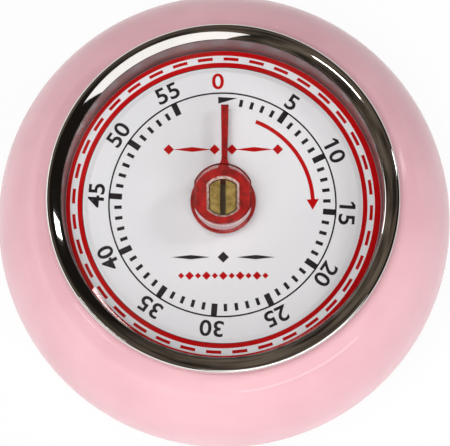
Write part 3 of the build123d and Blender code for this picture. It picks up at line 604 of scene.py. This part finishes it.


# Darker grey half-metal finish for the wall of the well: its dark grey is painted shade of the deep well.
def well_tinplate():
    return coat_finish("well_tinplate", light=linear(150, 139, 141), dark=linear(104, 94, 97),
                       rough=0.3, scale=900.0, depth=0.000003, Metallic=0.5)


def chrome_plate():
    chrome = bpy.context.scene.timer_ring.chrome
    return metal_finish("polished_chrome", light=chrome, dark=shaded(chrome, 0.9),
                        rough=0.045, scale=260.0, depth=0.0000004)


def dial_enamel():
    look = bpy.context.scene.timer_dial
    return coat_finish("white_enamel", look.enamel, look.enamel_shade, rough=0.42, scale=700.0,
                       depth=0.0000008)


def red_ink():
    ink = bpy.context.scene.timer_print.red_ink
    return coat_finish("red_ink", light=ink, dark=shaded(ink, 0.86), rough=0.45, scale=1500.0,
                       depth=0.0000006, Specular_IOR_Level=0.1)


def black_ink():
    ink = bpy.context.scene.timer_print.black_ink
    return coat_finish("black_ink", light=ink, dark=shaded(ink, 1.5), rough=0.5, scale=1500.0,
                       depth=0.0000006, Specular_IOR_Level=0.2)


def hand_red():
    look = bpy.context.scene.timer_hand
    return coat_finish("red_lacquer", look.paint, look.paint_shade, rough=0.2, scale=12600.0,
                       depth=0.000004, Coat_Weight=0.8, Coat_Roughness=0.05)


def worn_lacquer():
    """Edge of the boss's hole, pale with a painted highlight and mottled with dark red."""
    return coat_finish("worn_lacquer", light=linear(222, 204, 192), dark=linear(128, 52, 44),
                       rough=0.3, scale=26000.0, depth=0.00001, Coat_Weight=0.6, Coat_Roughness=0.08)


def lens_clear():
    """Clear plastic that lets light through to what lies under it."""
    name = "clear_acrylic"
    if name in bpy.data.materials:
        return bpy.data.materials[name]
    finish, tree, shader = new_finish(name, Transmission_Weight=1.0, IOR=1.49)
    shader.inputs["Base Color"].default_value = (1.0, 1.0, 1.0, 1.0)
    marks = fill_group(tree, fine_scratches_group(), {"Scale": 180.0, "Sharpness": 0.68})
    tree.links.new(between(tree, marks["Marks"], low=0.0, high=0.03), shader.inputs["Roughness"])
    path = put(tree, "ShaderNodeLightPath").outputs
    unseen = reckon(tree, "MAXIMUM", path["Is Shadow Ray"], path["Is Diffuse Ray"])
    clear = put(tree, "ShaderNodeBsdfTransparent", {"Color": (0.985, 0.985, 0.985, 1.0)})
    blend_surface(tree, unseen, shader.outputs["BSDF"], clear.outputs["BSDF"])
    return finish


def ground_edge():
    """Rim of the lens, dull and opaque where it sits in the ring, its dark grey painted shade and dark
    reflection of the rim.
    """
    return coat_finish("ground_acrylic", light=linear(150, 143, 143), dark=linear(58, 52, 52),
                       rough=0.3, scale=9000.0, depth=0.00001)


def brass():
    return metal_finish("turned_brass", light=linear(196, 166, 92), dark=linear(172, 140, 70),
                        rough=0.24, scale=420.0, depth=0.000002)


def arbor_brass():
    """Brass that is bright on the arbor's end, with painted shade that darkens it down its slot and sides.
    """
    name = "arbor_brass"
    if name in bpy.data.materials:
        return bpy.data.materials[name]
    shade_start_depth = 0.0002
    full_shade_depth = 0.002
    relief = 0.000008
    finish, tree, shader = new_finish(name, Metallic=0.55)
    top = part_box("main_arbor")[1].z
    depth = fill_group(tree, depth_shade_group(), {"Top": top - shade_start_depth, "Bottom": top - full_shade_depth})
    marks = fill_group(tree, fine_scratches_group(), {"Scale": 700.0, "Sharpness": 0.55})
    grain = fill_group(tree, surface_grain_group(), {"Fine scale": 3600.0, "Broad scale": 1100.0})
    worn = tint(tree, grain["Mottle"], linear(218, 188, 108), linear(150, 122, 60))
    # painted shade: the brass turns dark below the arbor's end, in its slot and down its sides in the
    # boss's hole
    painted_depth_shade = tint(tree, depth["Mask"], worn, linear(128, 112, 92))
    tree.links.new(painted_depth_shade, shader.inputs["Base Color"])
    tree.links.new(between(tree, marks["Marks"], low=0.3, high=0.55), shader.inputs["Roughness"])
    emboss(tree, shader, grain["Height"], relief)
    return finish


def steel():
    return metal_finish("rolled_steel", light=linear(176, 176, 178), dark=linear(150, 150, 154),
                        rough=0.28, scale=380.0, depth=0.000002)


def screw_steel():
    return metal_finish("plated_screw_steel", light=linear(190, 190, 188), dark=linear(160, 160, 160),
                        rough=0.2, scale=500.0, depth=0.0000015)


def spring_steel():
    return metal_finish("blued_spring_steel", light=linear(96, 104, 122), dark=linear(70, 76, 92),
                        rough=0.3, scale=380.0, depth=0.0000015)


def cover_plastic():
    return coat_finish("moulded_plastic", light=linear(74, 72, 72), dark=linear(62, 60, 61),
                       rough=0.5, scale=2600.0, depth=0.000008)


def ferrite():
    return coat_finish("pressed_ferrite", light=linear(46, 45, 48), dark=linear(30, 29, 32),
                       rough=0.55, scale=2200.0, depth=0.00001)


slot_finishes = {
    "case_paint": case_paint,
    "chrome": chrome_plate,
    "lens_clear": lens_clear,
    "dial_enamel": dial_enamel,
    "hand_red": hand_red,
    "brass": brass,
    "steel": steel,
    "screw_steel": screw_steel,
    "spring_steel": spring_steel,
    "cover_plastic": cover_plastic,
    "ferrite": ferrite,
}


# Stage
class TIMER_OT_stage(bpy.types.Operator):
    """Floor, backdrop light, lamps and camera"""
    bl_idname = "timer.stage"
    bl_label = "Stage"

    def execute(self, context):
        look = context.scene.timer_stage
        context.scene.view_settings.view_transform = "Standard"
        self.lay_floor(look)
        self.light_world(context.scene)
        self.hang_lamps()
        self.aim_camera(context.scene, look)
        return {"FINISHED"}

    def lay_floor(self, look):
        """Floor that is nearly white to the eye and in reflections, and keeps the part's shadow."""
        half = look.floor_half
        plot = bmesh.new()
        corners = [(-half, -half), (half, -half), (half, half), (-half, half)]
        plot.faces.new([plot.verts.new((x, y, cad_box[0].z)) for x, y in corners])
        floor = keep_mesh(plot, "floor")
        finish, tree, shader = new_finish("floor_white", Roughness=0.9, Specular_IOR_Level=0.0)
        shader.inputs["Base Color"].default_value = (*look.floor, 1.0)
        path = put(tree, "ShaderNodeLightPath").outputs
        seen = reckon(tree, "MAXIMUM", path["Is Camera Ray"], path["Is Glossy Ray"])
        seen = reckon(tree, "MAXIMUM", seen, path["Is Transmission Ray"])
        seen = reckon(tree, "MULTIPLY", seen, look.floor_glow)
        glow = put(tree, "ShaderNodeEmission", {"Strength": 1.0})
        blend_surface(tree, seen, shader.outputs["BSDF"], glow.outputs["Emission"])
        floor.data.materials.append(finish)

    def light_world(self, scene):
        """Bright low down at the front left and dim overhead, so that the chrome shows a dark ceiling."""
        bright_side = (-0.85, -0.53, 0.0)
        low_dim = (0.24, 0.23, 0.23)
        low_bright = (2.1, 2.1, 2.1)
        ceiling_rise = 0.16
        ceiling_dark = linear(46, 41, 36)
        ceiling_pale = linear(116, 105, 93)
        ceiling_right = linear(30, 26, 24)
        world = bpy.data.worlds.new("studio")
        world.use_nodes = True
        tree = world.node_tree
        place = put(tree, "ShaderNodeTexCoord").outputs["Generated"]
        split = put(tree, "ShaderNodeSeparateXYZ")
        side = put(tree, "ShaderNodeVectorMath", operation="DOT_PRODUCT")
        side.inputs[1].default_value = bright_side
        clutter = put(tree, "ShaderNodeTexNoise", {"Scale": 4.0, "Detail": 3.0})
        for socket in (split.inputs["Vector"], side.inputs[0], clutter.inputs["Vector"]):
            tree.links.new(place, socket)
        near = share(tree, side.outputs["Value"], low=-1.0, high=0.7)
        raised = reckon(tree, "ADD", split.outputs["Z"], between(tree, near, ceiling_rise, 0.0))
        over = share(tree, raised, low=0.2, high=0.36, interpolation_type="SMOOTHSTEP")
        patches = share(tree, clutter.outputs["Fac"], low=0.35, high=0.65)
        right = share(tree, split.outputs["X"], low=0.15, high=0.5)
        ceiling = tint(tree, patches, ceiling_dark, ceiling_pale)
        ceiling = tint(tree, right, ceiling, ceiling_right)
        light = tint(tree, over, tint(tree, near, low_dim, low_bright), ceiling)
        tree.links.new(light, tree.nodes["Background"].inputs["Color"])
        scene.world = world

    def hang_lamps(self):
        self.lamp("front_softbox", azimuth=-62, elevation=38.5, extent=(0.72, 0.55), power=1.7)
        self.lamp("front_core", azimuth=-62, elevation=22, extent=(0.6, 0.05), power=0.9)
        self.lamp("right_strip", azimuth=24, elevation=38, extent=(0.07, 0.2), power=0.36)
        self.lamp("left_strip", azimuth=214, elevation=55, extent=(0.2, 0.03), power=0.22)
        self.lamp("left_low_strip", azimuth=170, elevation=19, extent=(0.35, 0.07), power=0.16)
        fills = (
            self.lamp("right_fill", azimuth=16, elevation=44, extent=(0.12, 0.12), power=0.6),
            self.lamp("overhead_fill", azimuth=-140, elevation=80, extent=(0.4, 0.4), power=3.35),
        )
        for fill in fills:
            fill.visible_glossy = False
            fill.visible_transmission = False

    def lamp(self, name, azimuth, elevation, extent, power):
        """Rectangular lamp that faces the dial, seen at an azimuth from +X and an elevation."""
        data = bpy.data.lights.new(name, "AREA")
        data.shape = "RECTANGLE"
        data.size, data.size_y = extent
        data.energy = power
        turn = math.radians(azimuth)
        lift = math.radians(elevation)
        away = Vector((math.cos(turn) * math.cos(lift), math.sin(turn) * math.cos(lift), math.sin(lift)))
        distance = bpy.context.scene.timer_stage.lamp_distance
        thing = bpy.data.objects.new(name, data)
        thing.location = Vector((0.0, 0.0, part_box("dial_plate")[1].z)) + away * distance
        thing.rotation_euler = away.to_track_quat("Z", "Y").to_euler()
        bpy.context.scene.collection.objects.link(thing)
        return thing

    def aim_camera(self, scene, look):
        """Camera over the dial that leans a little towards the front and keeps 0 at the top."""
        data = bpy.data.cameras.new("camera")
        data.lens = look.camera_lens
        data.sensor_width = look.camera_sensor
        camera = bpy.data.objects.new("camera", data)
        aim = Vector((look.aim_right, look.aim_up, scene.timer_case.widest_height))
        away = Vector((0.0, -math.sin(look.camera_lean), math.cos(look.camera_lean)))
        away = (away * look.camera_distance + Vector((look.camera_side, 0.0, 0.0))).normalized()
        camera.location = aim + away * look.camera_distance
        across = Vector((0.0, 1.0, 0.0)).cross(away).normalized()
        camera.rotation_euler = Matrix((across, away.cross(across), away)).transposed().to_euler()
        scene.collection.objects.link(camera)
        scene.camera = camera


# Pieces
class TIMER_OT_case(bpy.types.Operator):
    """Painted steel shell with its rolled base, rim and dial well"""
    bl_idname = "timer.case"
    bl_label = "Case shell"

    def execute(self, context):
        look = context.scene.timer_case
        shell = lathe("case_shell_painted", self.outline(look))
        settle(shell, "case", "case_paint", case_paint(), "case_shell")
        floor_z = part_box("dial_plate")[0].z
        wall_radius = look.well_radius + look.rim_round / 2
        # painted shade: the well's wall above the dial takes the darker grey finish
        finish_faces(shell, well_tinplate(), lambda at: at.z > floor_z and at.xy.length < wall_radius)
        return {"FINISHED"}

    def outline(self, look):
        low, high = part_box("case_shell")
        neck_z = high.z - look.neck_height
        widest = look.widest_height
        crown = (look.rim_radius, widest)
        widest_radius = min(high.x, high.y)
        run = widest_radius - look.rim_radius
        rise = neck_z - widest
        base_radius = upright_arc_radius(widest_radius - look.base_corner_radius, widest - low.z)
        base = (widest_radius - base_radius, widest)
        corner = look.sheet / 2
        drop = widest - low.z - corner
        corner_x = base[0] + math.sqrt((base_radius - corner) ** 2 - drop ** 2)
        corner_turn = math.degrees(math.atan2(-drop, corner_x - base[0]))
        gutter = look.gutter_radius
        crown_end = math.degrees(math.acos(gutter / run))
        gutter_z = widest + rise * math.sin(math.radians(crown_end)) + gutter
        edge = look.rim_round
        floor_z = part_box("dial_plate")[0].z
        inner_base = base_radius - look.sheet
        inner_turn = -math.degrees(math.asin((widest - low.z - look.sheet) / inner_base))
        outline = [(look.base_opening_radius, low.z)]
        outline += arc((corner_x, low.z + corner), corner, -90, corner_turn, corner_steps)
        outline += arc(base, base_radius, corner_turn, 0)[1:]
        outline += ellipse(crown, run, rise, 0, crown_end, crown_steps)[1:]
        outline += arc((look.rim_radius + gutter, gutter_z), gutter, 270, 180, hollow_steps)[1:]
        outline += arc((look.rim_radius - edge, high.z - edge), edge, 0, 90, corner_steps)
        outline += arc((look.well_radius + edge, high.z - edge), edge, 90, 180, corner_steps)
        outline += [(look.well_radius - look.well_taper, floor_z)]
        outline += [(look.well_radius - look.well_floor_width, floor_z)]
        outline += [(look.well_radius - look.well_floor_width, floor_z - look.sheet)]
        outline += [(look.well_radius + look.sheet, floor_z - look.sheet)]
        outline += [(look.well_radius + look.sheet, neck_z - look.sheet)]
        outline += ellipse(crown, run - look.sheet, rise - look.sheet, 90, 0, inside_steps)
        outline += arc(base, inner_base, 0, inner_turn)[1:]
        outline += [(look.base_opening_radius, low.z + look.sheet)]
        return outline


class TIMER_OT_ring(bpy.types.Operator):
    """Chromed setting ring with its rounded edge and the slope down to the lens"""
    bl_idname = "timer.ring"
    bl_label = "Setting ring"

    def execute(self, context):
        ring = lathe("setting_ring_chromed", self.outline(context.scene.timer_ring))
        settle(ring, "setting", "chrome", chrome_plate(), "setting_ring")
        return {"FINISHED"}

    def outline(self, look):
        low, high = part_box("setting_ring")
        edge = look.edge_round
        edge_middle = (high.x - edge, high.z - edge)
        skirt_inner = high.x - look.wall
        ceiling = high.z - look.crest_rise
        crest = arc(edge_middle, edge, 0, 90 + math.degrees(look.crest_lean), crest_steps)
        lip = (look.inner_radius, high.z - look.slope_drop)
        lip_round = look.lip_round
        outline = arc((skirt_inner + lip_round, low.z + lip_round), lip_round, 180, 270, lip_steps)
        outline += arc((high.x - lip_round, low.z + lip_round), lip_round, 270, 360, lip_steps)
        outline += crest
        outline += self.slope(crest[-1], lip, look.crest_lean)
        outline += [(look.inner_radius, ceiling), (skirt_inner, ceiling)]
        return outline

    def slope(self, start, end, lean):
        """Arc from the crest to the lip that goes on from the crest's lean."""
        run, drop = start[0] - end[0], start[1] - end[1]
        bend = math.atan2(drop, run) - lean
        radius = math.hypot(run, drop) / (2 * math.sin(bend))
        middle = (start[0] + radius * math.sin(lean), start[1] - radius * math.cos(lean))
        first = 90 + math.degrees(lean)
        return arc(middle, radius, first, first + 2 * math.degrees(bend), slope_steps)[1:]


class TIMER_OT_lens(bpy.types.Operator):
    """Clear domed lens with the double-D socket over the hand's boss"""
    bl_idname = "timer.lens"
    bl_label = "Lens"

    def execute(self, context):
        look = context.scene.timer_lens
        hand = context.scene.timer_hand
        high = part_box("lens")[1]
        edge_z = high.z - look.crown_rise
        outer = self.dome(high.x, edge_z, high.z, look.shoulder_radius)
        inner = self.dome(high.x, edge_z - look.wall, high.z - look.wall, look.shoulder_radius)
        cap = lathe("lens_cap", outer + inner[::-1])
        socket = self.socket(look, hand, high.z - look.wall / 2)
        joined = cut_or_join(cap, socket, "UNION", "lens_with_socket")
        settle(joined, "setting", "lens_clear", lens_clear(), "lens")
        # painted shade: the outer rim of the lens takes the dull dark grey finish
        finish_faces(joined, ground_edge(), lambda at: at.xy.length > high.x - look.ground_width)
        return {"FINISHED"}

    def dome(self, radius, edge_z, crown_z, shoulder):
        """Outline from the edge over its rounding to the crown, fuller than a sphere's cap."""
        rise = crown_z - edge_z
        lean = math.atan(dome_power * rise / radius)
        reach = radius - shoulder * (1 - math.sin(lean))
        middle_z = crown_z - rise * (reach / radius) ** dome_power - shoulder * math.cos(lean)
        corner = arc((radius - shoulder, middle_z), shoulder, 0, 90 - math.degrees(lean))
        places = [reach * (1 - step / dome_rings) for step in range(dome_rings + 1)]
        return corner[:-1] + [(r, crown_z - rise * (r / radius) ** dome_power) for r in places]

    def socket(self, look, hand, top_z):
        low_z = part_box("hand")[0].z + hand.sheet + look.socket_lift
        radius = hand.boss_radius + look.socket_gap
        flats = hand.boss_flats + 2 * look.socket_gap
        wall = look.socket_wall
        plot = bmesh.new()
        loft(plot, [
            double_d(radius + wall, flats + 2 * wall, low_z),
            double_d(radius + wall, flats + 2 * wall, top_z),
            double_d(radius, flats, top_z),
            double_d(radius, flats, low_z),
        ])
        return keep_mesh(plot, "lens_socket")


def dial_edge():
    """Radius of the dial's edge, which clears the leaning wall of the well."""
    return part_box("dial_plate")[1].x - bpy.context.scene.timer_case.well_taper


class TIMER_OT_dial(bpy.types.Operator):
    """Enamelled dial plate with its rolled edge"""
    bl_idname = "timer.dial"
    bl_label = "Dial plate"

    def execute(self, context):
        look = context.scene.timer_dial
        red_radius = dial_edge() - look.red_edge
        plate = lathe("dial_plate_enamelled", self.outline(look, red_radius))
        settle(plate, "case", "dial_enamel", dial_enamel(), "dial_plate")
        finish_faces(plate, red_ink(), lambda at: at.xy.length > red_radius)
        return {"FINISHED"}

    def outline(self, look, red_radius):
        low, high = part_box("dial_plate")
        edge = dial_edge()
        border_z = low.z + look.sheet
        face = high.x - look.border_width - look.roll_width
        shares = [step / arc_steps for step in range(arc_steps + 1)]
        roll = [(face + look.roll_width * s, (1 + math.cos(math.pi * s)) / 2) for s in shares]
        upper = [(radius, border_z + (high.z - border_z) * s) for radius, s in roll]
        lower = [(radius, height - look.sheet) for radius, height in upper]
        outline = [(look.hole_radius, high.z)] + upper
        outline += [(red_radius, border_z), (edge, border_z), (edge, low.z), (red_radius, low.z)]
        return outline + lower[::-1] + [(look.hole_radius, high.z - look.sheet)]


# Print, with radii and clockwise angles from the 0 mark
def on_dial(radius, degrees):
    """Point of the print at a radius and an angle."""
    look = bpy.context.scene.timer_print
    turn = math.radians(degrees) - look.turn
    return radius * math.sin(turn) - look.left, radius * math.cos(turn) + look.up


def band(plot, inner, outer, start, end, layer):
    """Strip of ink between two radii and two dial angles."""
    steps = math.ceil((end - start) / band_step_degrees)
    angles = [start + (end - start) * step / steps for step in range(steps + 1)]
    outline = [on_dial(outer, a) for a in angles] + [on_dial(inner, a) for a in reversed(angles)]
    prism(plot, outline, *layer)


def full_band(plot, inner, outer, layer):
    """Closed ring of ink."""
    low, high = layer
    angles = [360 * step / turn_steps for step in range(turn_steps)]
    corners = ((inner, low), (outer, low), (outer, high), (inner, high))
    loft(plot, [[(*on_dial(radius, a), height) for a in angles] for radius, height in corners])


def tick(plot, inner, outer, width, middle, layer):
    """Straight mark along a radius."""
    foot, head = Vector(on_dial(inner, middle)), Vector(on_dial(outer, middle))
    way = (head - foot).normalized()
    side = Vector((way.y, -way.x)) * width / 2
    corners = [foot - side, head - side, head + side, foot + side]
    prism(plot, [tuple(corner) for corner in corners], *layer)


def lozenge(plot, middle, length, width, layer):
    """Four-cornered mark that tapers to both ends."""
    x, y = middle
    corners = [(x - length / 2, y), (x, y - width / 2), (x + length / 2, y), (x, y + width / 2)]
    prism(plot, corners, *layer)


def minute_angle(minute):
    """The scale leaves one minute's room after 0."""
    return minute_degrees * (minute + 1) if minute else 0


class TIMER_OT_print(bpy.types.Operator):
    """Border, scale, numerals, arrow and ornaments printed on the dial, with a painted shade line inside
    the border
    """
    bl_idname = "timer.dial_print"
    bl_label = "Dial print"

    def execute(self, context):
        look = context.scene.timer_print
        plate = context.scene.timer_dial
        low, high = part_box("dial_plate")
        face = (high.z, high.z + look.ink)
        rim = (low.z + plate.sheet, low.z + plate.sheet + look.ink)
        self.border(look, dial_edge() - plate.red_edge / 2, rim)
        self.scale(look, face)
        self.arrow(look, face)
        self.ornaments(face)
        self.numerals(look, face)
        return {"FINISHED"}

    def keep(self, plot, name, ink):
        settle(keep_mesh(plot, name), "case", "dial_enamel", ink)

    def border(self, look, edge, layer):
        """Two red bands with a row of dashes between them, and inside them a thin black line that paints
        the shade line at the foot of the rolled edge.
        """
        red, black = bmesh.new(), bmesh.new()
        # painted shade: a black line at the foot of the rolled edge
        full_band(black, look.border_line_radius, look.inner_band_radius, layer)
        full_band(red, look.inner_band_radius, look.inner_band_radius + look.inner_band_width, layer)
        full_band(red, look.outer_band_radius, edge, layer)
        reach = math.degrees(look.dash_reach)
        outer = look.dash_radius + look.dash_width
        for dash in range(look.dash_count):
            middle = 360 / look.dash_count * (dash + 0.5)
            band(red, look.dash_radius, outer, middle - reach, middle + reach, layer)
        self.keep(red, "dial_border_red", red_ink())
        self.keep(black, "dial_border_shade_line", black_ink())

    def scale(self, look, layer):
        """Circle with a mark for each minute, and a wedge that starts at 0."""
        plot = bmesh.new()
        full_band(plot, look.circle_radius, look.circle_radius + look.circle_width, layer)
        for minute in range(1, last_minute + 1):
            head, width = look.tick_head, look.tick_width
            if minute % numeral_minutes == 0:
                head, width = look.long_tick_head, look.long_tick_width
            tick(plot, look.tick_foot, head, width, minute_angle(minute), layer)
        start = math.degrees(look.wedge_start)
        tip = on_dial(look.wedge_tip, math.degrees(look.wedge_end))
        prism(plot, [on_dial(look.wedge_head, start), tip, on_dial(look.wedge_foot, start)], *layer)
        self.keep(plot, "dial_scale", black_ink())

    def arrow(self, look, layer):
        """Curved arrow that shows which way to wind."""
        plot = bmesh.new()
        radius = look.arrow_radius
        half, head_half = look.arrow_width / 2, look.arrow_head_width / 2
        neck = math.degrees(look.arrow_neck)
        tip = on_dial(radius, math.degrees(look.arrow_tip))
        band(plot, radius - half, radius + half, math.degrees(look.arrow_start), neck, layer)
        prism(plot, [on_dial(radius + head_half, neck), tip, on_dial(radius - head_half, neck)], *layer)
        self.keep(plot, "dial_arrow", red_ink())

    def ornaments(self, layer):
        """Plain printer's ornaments: tapered rules with lozenges, and a row of small lozenges."""
        upper_y, lower_y, row_y = 0.0090, -0.0086, -0.0116
        rule_length = 0.0062
        red_rule_x, red_rule_width = 0.0050, 0.0008
        black_rule_x, black_rule_width = 0.0052, 0.0007
        inner_lozenge_x, outer_lozenge_x = 0.0014, 0.0088
        red_lozenge, black_lozenge = 0.0017, 0.0018
        row_pitch, row_reach = 0.00135, 5
        small_lozenge, large_lozenge = 0.001, 0.0014
        red, black = bmesh.new(), bmesh.new()
        for side in (-1, 1):
            lozenge(red, (side * red_rule_x, upper_y), rule_length, red_rule_width, layer)
            lozenge(black, (side * black_rule_x, lower_y), rule_length, black_rule_width, layer)
            for reach in (inner_lozenge_x, outer_lozenge_x):
                lozenge(red, (side * reach, upper_y), red_lozenge, red_lozenge, layer)
        lozenge(black, (0.0, lower_y), black_lozenge, black_lozenge, layer)
        for place in range(-row_reach, row_reach + 1):
            width = small_lozenge if place % 2 else large_lozenge
            lozenge(red, (row_pitch * place, row_y), width, width, layer)
        self.keep(red, "dial_ornament_red", red_ink())
        self.keep(black, "dial_ornament_black", black_ink())

    def numerals(self, look, layer):
        minutes = range(numeral_minutes, last_minute + 1, numeral_minutes)
        self.gather([self.numeral(minute, look, layer) for minute in minutes], "dial_numerals", black_ink())
        self.gather([self.numeral(0, look, layer)], "dial_zero", red_ink())

    def numeral(self, minute, look, layer):
        """Mesh of one numeral, top outwards, at its place on the dial."""
        text = bpy.data.curves.new("numeral", "FONT")
        text.body = str(minute)
        text.align_x = "CENTER"
        text.size = 1.0
        text.offset = 0.018
        text.space_character = 1.02
        text.extrude = 0.5
        text.resolution_u = numeral_steps
        thing = bpy.data.objects.new("numeral", text)
        bpy.context.scene.collection.objects.link(thing)
        graph = bpy.context.evaluated_depsgraph_get()
        mesh = bpy.data.meshes.new_from_object(thing.evaluated_get(graph))
        bpy.data.objects.remove(thing)
        if text.body.startswith("1"):
            self.flag(mesh)
        low, high = layer
        heights = [v.co.y for v in mesh.vertices]
        middle_y = (max(heights) + min(heights)) / 2
        grow = look.numeral_height / (max(heights) - min(heights))
        turn = look.turn - math.radians(minute_angle(minute))
        lay = Matrix.Translation((-look.left - look.numeral_left, look.up, (low + high) / 2))
        lay = lay @ Matrix.Rotation(turn, 4, "Z") @ Matrix.Translation((0.0, look.numeral_radius, 0.0))
        shape = Matrix.Diagonal((grow * look.numeral_width, grow, high - low, 1.0))
        mesh.transform(lay @ shape @ Matrix.Translation((0.0, -middle_y, 0.0)))
        return mesh

    def flag(self, mesh):
        """Short slanted stroke at the head of a 1 that leads a numeral, in shares of the text's size."""
        overlap, shoulder, reach = 0.04, 0.02, 0.15
        upper_drop, lower_drop, root_drop = 0.13, 0.24, 0.12
        stem_share = 0.01
        left = min(v.co.x for v in mesh.vertices)
        head = max(v.co.y for v in mesh.vertices if v.co.x < left + stem_share)
        low, high = (pick(v.co.z for v in mesh.vertices) for pick in (min, max))
        plot = bmesh.new()
        plot.from_mesh(mesh)
        prism(plot, [
            (left + overlap, head),
            (left - shoulder, head),
            (left - reach, head - upper_drop),
            (left - reach, head - lower_drop),
            (left + overlap, head - root_drop),
        ], low, high)
        plot.to_mesh(mesh)
        plot.free()

    def gather(self, meshes, name, ink):
        """One piece made of several meshes."""
        plot = bmesh.new()
        for mesh in meshes:
            plot.from_mesh(mesh)
            bpy.data.meshes.remove(mesh)
        self.keep(plot, name, ink)


class TIMER_OT_hand(bpy.types.Operator):
    """Red hand: flat blade with its hub disc, and the double-D boss on it"""
    bl_idname = "timer.hand"
    bl_label = "Hand"

    def execute(self, context):
        look = context.scene.timer_hand
        low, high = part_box("hand")
        face_z = low.z + look.sheet
        chamfer = look.mouth_chamfer
        chamfer_z = high.z - chamfer / 2
        plot = bmesh.new()
        prism(plot, self.blade(look, high), low.z, face_z)
        blade = self.bore(keep_mesh(plot, "hand_disc"), look, low.z, face_z)
        settle(soften(blade, look.edge / 2), "setting", "hand_red", hand_red(), "hand")
        plot = bmesh.new()
        foot = arc((look.boss_foot, face_z + look.boss_foot), look.boss_foot, 270, 180, foot_steps)
        loft(plot, [double_d(look.boss_radius + out, look.boss_flats + 2 * out, z) for out, z in foot] + [
            double_d(look.boss_radius, look.boss_flats, high.z),
            double_d(look.mouth_radius + chamfer, look.mouth_flats + 2 * chamfer, high.z),
            double_d(look.mouth_radius, look.mouth_flats, high.z - chamfer),
            double_d(look.mouth_radius, look.mouth_flats, face_z),
        ])
        boss = soften(keep_mesh(plot, "hand_boss"), look.edge / 2)
        settle(boss, "setting", "hand_red", hand_red())
        # painted highlight: the chamfer round the hole's mouth takes the pale finish
        finish_faces(boss, worn_lacquer(), lambda at: abs(at.z - chamfer_z) < chamfer / 4)
        return {"FINISHED"}

    def bore(self, disc, look, low_z, high_z):
        """Disc with the double-D hole that grips the arbor."""
        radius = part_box("main_arbor")[1].x + look.hole_gap
        flats = look.arbor_flats + 2 * look.hole_gap
        hole = [point[:2] for point in double_d(radius, flats, 0.0)]
        plot = bmesh.new()
        prism(plot, hole, low_z - look.sheet, high_z + look.sheet)
        return cut_or_join(disc, keep_mesh(plot, "hand_bore"), "DIFFERENCE", "hand_blade")

    def blade(self, look, high):
        """Outline of the hub disc and the blade, with rounded roots."""
        hub, tip = high.x, high.y
        half = look.width / 2
        root = look.root_round
        root_y = math.sqrt((hub + root) ** 2 - (half + root) ** 2)
        hub_turn = math.degrees(math.atan2(root_y, half + root))
        right = arc((half + root, root_y), root, hub_turn + 180, 180, hollow_steps)
        left = [(-x, y) for x, y in reversed(right)]
        flare = look.tip_width / 2
        blade = right + [(flare, tip), (-flare, tip)] + left
        lean = math.tan(look.lean)
        leaned = [(x + look.blade_right + max(0.0, y - hub) * lean, y) for x, y in blade]
        return leaned + arc((0.0, 0.0), hub, 180 - hub_turn, 360 + hub_turn, hub_steps)[1:-1]


class TIMER_OT_nodes(bpy.types.Operator):
    """Finishes of the back, the screws and the movement"""
    bl_idname = "timer.nodes"
    bl_label = "Back and movement"

    def execute(self, context):
        for part in frame["record"]["subparts"]:
            node = part["node"]
            finish = arbor_brass if node == "main_arbor" else slot_finishes[part["material_slot"]]
            thing = frame["nodes"][node]
            thing.data.materials.clear()
            thing.data.materials.append(finish())
        return {"FINISHED"}


class TIMER_PT_panel(bpy.types.Panel):
    """Lists the timer's pieces and their sizes"""
    bl_idname = "TIMER_PT_panel"
    bl_label = "Kitchen timer"
    bl_space_type = "VIEW_3D"
    bl_region_type = "UI"
    bl_category = "Timer"

    def draw(self, context):
        for piece in piece_operators:
            self.layout.operator(piece.bl_idname)
        for name in look_groups:
            box = self.layout.box()
            look = getattr(context.scene, name)
            for prop in look.bl_rna.properties:
                if prop.identifier not in ("rna_type", "name"):
                    box.prop(look, prop.identifier)


look_groups = {
    "timer_case": TimerCase,
    "timer_ring": TimerRing,
    "timer_lens": TimerLens,
    "timer_dial": TimerDial,
    "timer_print": TimerPrint,
    "timer_hand": TimerHand,
    "timer_stage": TimerStage,
}
piece_operators = (TIMER_OT_stage, TIMER_OT_case, TIMER_OT_ring, TIMER_OT_lens, TIMER_OT_dial,
                   TIMER_OT_print, TIMER_OT_hand, TIMER_OT_nodes)


def register():
    for group in look_groups.values():
        bpy.utils.register_class(group)
    for name, group in look_groups.items():
        setattr(bpy.types.Scene, name, PointerProperty(type=group))
    for piece in piece_operators:
        bpy.utils.register_class(piece)
    bpy.utils.register_class(TIMER_PT_panel)


def unregister():
    bpy.utils.unregister_class(TIMER_PT_panel)
    for piece in reversed(piece_operators):
        bpy.utils.unregister_class(piece)
    for name in look_groups:
        delattr(bpy.types.Scene, name)
    for group in reversed(list(look_groups.values())):
        bpy.utils.unregister_class(group)


def main():
    register()
    bpy.ops.timer.stage()
    bpy.ops.timer.case()
    bpy.ops.timer.ring()
    bpy.ops.timer.lens()
    bpy.ops.timer.dial()
    bpy.ops.timer.dial_print()
    bpy.ops.timer.hand()
    bpy.ops.timer.nodes()


if __name__ == "__main__":
    main()
